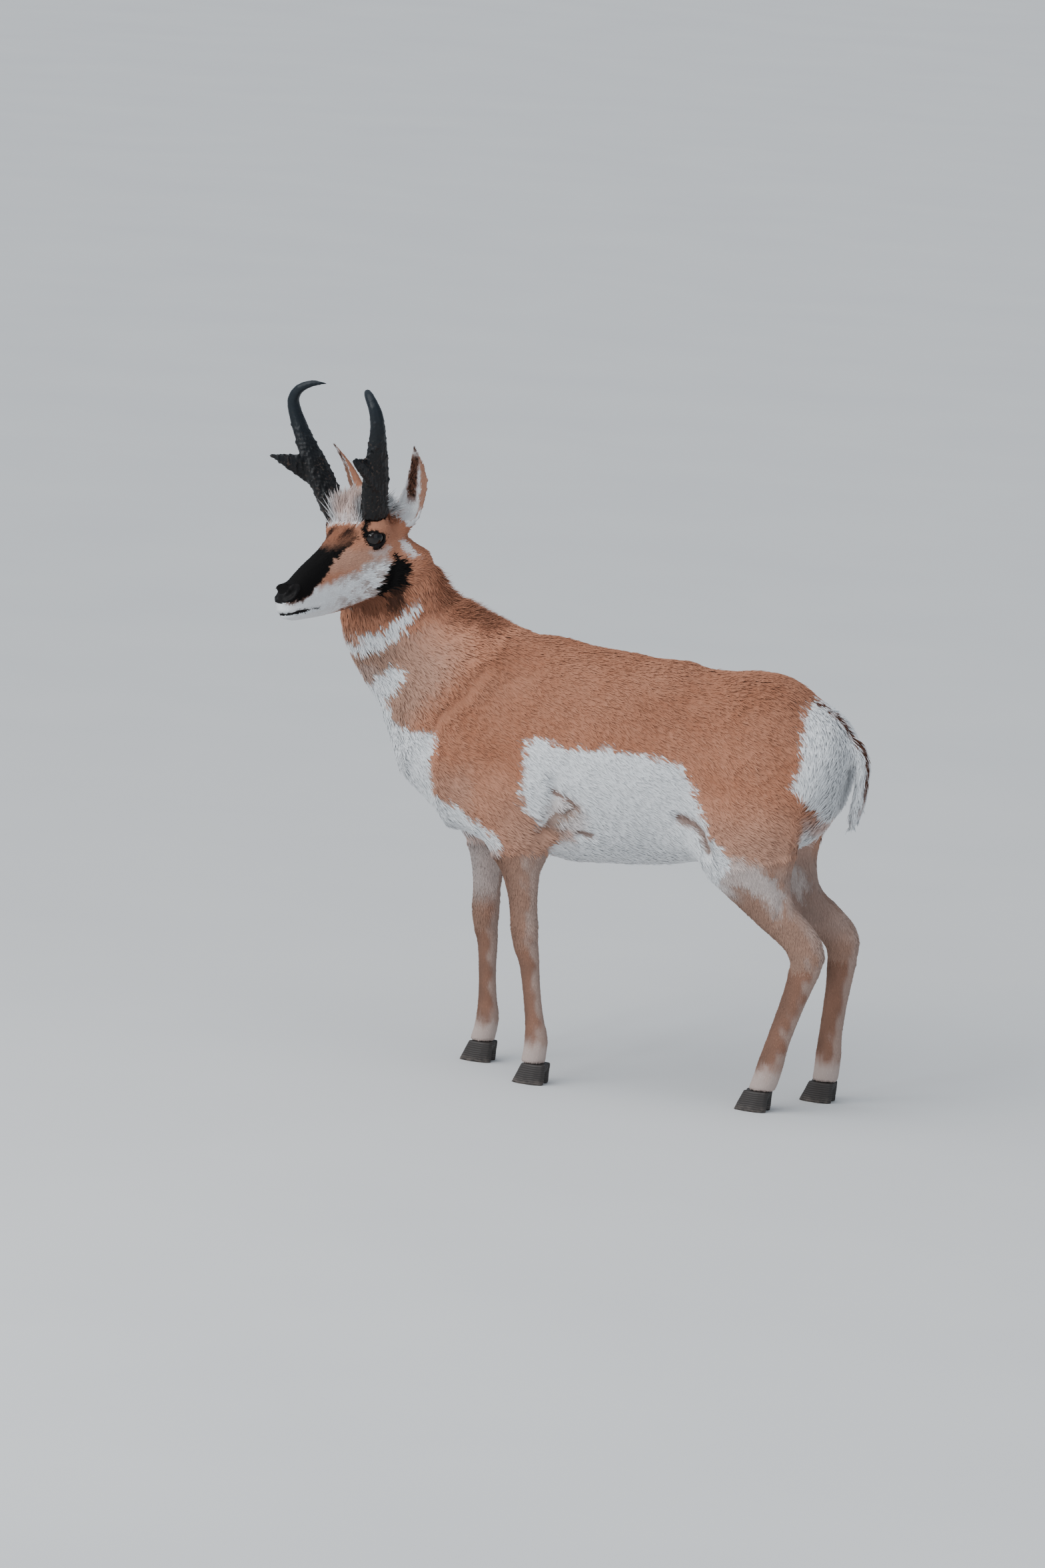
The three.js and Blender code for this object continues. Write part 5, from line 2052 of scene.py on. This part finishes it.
@dataclass
class Keratin:
    """Horns and hooves, rebuilt finely from their solids."""

    anatomy: Anatomy
    horn_grain: float = 0.0022
    hoof_grain: float = 0.0018
    horn_foot: float = 60.0
    horn_height: float = 240.0
    furrow_stretch: float = 0.22

    def rebuilt(self, frame: dict, node: str, name: str, grain: float, rounds: int) -> bpy.types.Object:
        """A finer, smoother copy of one node.

        Args:
            frame: The loaded frame.
            node: The node's name.
            name: The new piece's name.
            grain: The size of its faces, in metres.
            rounds: How much it is smoothed.

        Returns:
            The new object.
        """
        piece = merged_copy(frame, name, {node: 0.0})
        piece.name = piece.data.name = name
        apply_remesh(piece, grain)
        places, pairs = vertices(piece), edge_pairs(piece)
        places = relax(places, pairs, 0.5, rounds)
        set_vertices(piece, places)
        shade_round(piece.data)
        return piece

    def horn(self, frame: dict, name: str, side: int) -> bpy.types.Object:
        """Makes one horn with its rough, furrowed sheath.

        Args:
            frame: The loaded frame.
            name: Which horn.
            side: 1 on the left and -1 on the right.

        Returns:
            The piece.
        """
        horn = self.rebuilt(frame, f"horn_{name}", f"horn_sheath_{name}", self.horn_grain, 14)
        body, normals = self.anatomy.body(vertices(horn)), vertex_normals(horn)
        head = self.anatomy.head(body)
        rise = np.clip((head[:, 2] - self.horn_foot) / self.horn_height, 0, 1)
        drawn = head * (1, 1, self.furrow_stretch)
        rough = 0.9 * ripple(drawn, 9, seed=91 + side) + 0.5 * ripple(head, 7, seed=95 + side)
        knobs = np.maximum(ripple(head, 10, seed=97 + side) - 0.35, 0) * 2.2
        keep = step(1.0, 0.55, rise)
        body = body + normals * ((rough + knobs) * (0.15 + 0.85 * keep) * 0.75)[:, None]
        set_vertices(horn, self.anatomy.packed(body))
        layer = horn.data.attributes.new("rise", "FLOAT", "POINT")
        layer.data.foreach_set("value", rise.astype(np.float32))
        horn.data.materials.append(HornFinish().material(f"horn_{name}"))
        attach(horn, BODY)
        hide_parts(f"horn_{name}")
        return horn

    def hoof(self, frame: dict, leg: str) -> bpy.types.Object:
        """Makes one cloven hoof.

        Args:
            frame: The loaded frame.
            leg: Which leg.

        Returns:
            The piece.
        """
        hoof = self.rebuilt(frame, f"{leg}_hoof", f"claws_{leg}", self.hoof_grain, 5)
        places = vertices(hoof)
        places[:, 2] = np.maximum(places[:, 2], 0.0)
        set_vertices(hoof, places)
        hoof.data.materials.append(HoofFinish().material(f"hoof_{leg}"))
        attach(hoof, BODY)
        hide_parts(f"{leg}_hoof")
        return hoof


@dataclass
class Studio:
    """The pale floor, the soft lights and the camera.

    The target is body millimetres, the frame's size and the target's place in it are pixels, and the
    scale is pixels to a millimetre.
    """

    azimuth: float = 17.0
    elevation: float = 9.0
    roll: float = 3.5
    distance: float = 16.0
    target: tuple = (0.0, 0.0, 637.0)
    frame_size: tuple = (1568, 2352)
    pixel: tuple = (870, 1130)
    scale: float = 0.78
    sensor: float = 36.0
    floor_radius: float = 90.0
    aim: tuple = (0.0, 0.0, 0.65)
    sky: tuple = (0.72, 0.82, 0.94, 1.0)
    sky_strength: float = 0.5

    def floor(self) -> bpy.types.Object:
        """Makes the floor, which isn't part of the object.

        Returns:
            The floor.
        """
        deselect()
        bpy.ops.mesh.primitive_circle_add(vertices=96, radius=self.floor_radius, fill_type="NGON")
        floor = bpy.context.view_layer.objects.active
        floor.name = floor.data.name = "studio_floor"
        floor.data.materials.append(FloorFinish().material("studio_floor"))
        return floor

    def lamp(
        self, name: str, kind: str, place: tuple, aim: tuple, power: float, colour: tuple
    ) -> bpy.types.Light:
        """Adds one lamp that points from its place to its aim.

        Args:
            name: The light's name.
            kind: Blender's name for its kind.
            place: Where it hangs, in metres.
            aim: Where it points.
            power: Its strength.
            colour: Its colour.

        Returns:
            The lamp, for what only its kind has.
        """
        lamp = bpy.data.lights.new(name, kind)
        lamp.energy = power
        lamp.color = colour
        thing = add_object(name, lamp)
        thing.location = place
        thing.rotation_euler = (Vector(aim) - Vector(place)).to_track_quat("-Z", "Y").to_euler()
        return lamp

    def soft_light(self, name: str, place: tuple, size: float, power: float, colour: tuple) -> None:
        """Adds one soft square light that points at the animal.

        Args:
            name: The light's name.
            place: Where it hangs, in metres.
            size: Its side.
            power: Its strength in watts.
            colour: Its colour.
        """
        lamp = self.lamp(name, "AREA", place, self.aim, power, colour)
        lamp.shape = "SQUARE"
        lamp.size = size

    def lights(self) -> None:
        """Adds the wide light from above, the key, the glint, the fill and the pale surroundings."""
        wide = self.lamp("above", "SUN", (-0.35, -0.45, 1.0), (0, 0, 0), 2.6, (0.97, 0.985, 1.0))
        wide.angle = math.radians(75)
        self.soft_light("key", (-2.6, -3.6, 3.6), size=2.2, power=70, colour=(1.0, 0.975, 0.94))
        self.soft_light("glint", (-1.3, -5.2, 2.9), size=0.6, power=42, colour=(0.86, 0.94, 1.0))
        self.soft_light("fill", (3.8, -3.0, 2.2), size=3.0, power=18, colour=(0.86, 0.93, 1.0))
        world = bpy.data.worlds.new("studio")
        bpy.context.scene.world = world
        world.use_nodes = True
        sky = world.node_tree.nodes["Background"]
        sky.inputs["Color"].default_value = self.sky
        sky.inputs["Strength"].default_value = self.sky_strength

    def camera(self, anatomy: Anatomy) -> None:
        """Adds the camera at the photo's angle and framing.

        Args:
            anatomy: The animal's frames, for its place.
        """
        a, e, r = (math.radians(v) for v in (self.azimuth, self.elevation, self.roll))
        look = Vector((-math.sin(a) * math.cos(e), math.cos(a) * math.cos(e), -math.sin(e)))
        right = Vector((math.cos(a), math.sin(a), 0))
        up = right.cross(look)
        across = right * math.cos(r) + up * math.sin(r)
        above = up * math.cos(r) - right * math.sin(r)
        lens = bpy.data.cameras.new("camera")
        wide, tall = self.frame_size
        lens.sensor_fit = "VERTICAL"
        lens.sensor_height = self.sensor
        lens.lens = self.scale * self.distance / MM * self.sensor / tall
        lens.shift_x = (wide / 2 - self.pixel[0]) / tall
        lens.shift_y = (self.pixel[1] - tall / 2) / tall
        lens.clip_end = 300
        camera = add_object("camera", lens)
        axes = Matrix((across, above, -look)).transposed()
        place = Vector(anatomy.packed(np.array(self.target))) - look * self.distance
        camera.matrix_world = Matrix.Translation(place) @ axes.to_4x4()
        bpy.context.scene.camera = camera


def main() -> None:
    """Loads the frame and builds every piece of the model and its studio."""
    logging.basicConfig(level=logging.INFO, format="%(relativeCreated)d %(message)s")
    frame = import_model()
    anatomy = Anatomy()
    markings = Markings(anatomy)
    LOG.info("frame loaded, shift %s", anatomy.shift.round(2))
    skin, hide = Skin(anatomy, markings).build(frame)
    LOG.info("skin: %d triangles", len(skin.data.polygons))
    coat = Coat(anatomy, markings).build(hide)
    LOG.info("coat: %d pieces", len(coat))
    mane = Mane(anatomy, markings)
    for lock in Lock:
        LOG.info("standing hair: %s", mane.build(lock, hide).name)
    eyes, keratin = Eyes(anatomy), Keratin(anatomy)
    for name, side in SIDES.items():
        LOG.info("eye: %s", eyes.ball(name, side).name)
        LOG.info("lids: %s", eyes.lids(name, side).name)
        LOG.info("horn: %s", keratin.horn(frame, name, side).name)
    for leg in ("fore_left", "fore_right", "hind_left", "hind_right"):
        LOG.info("hoof: %s", keratin.hoof(frame, leg).name)
    studio = Studio()
    studio.floor()
    studio.lights()
    studio.camera(anatomy)
    LOG.info("studio set")
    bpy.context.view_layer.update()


if __name__ == "__main__":
    main()
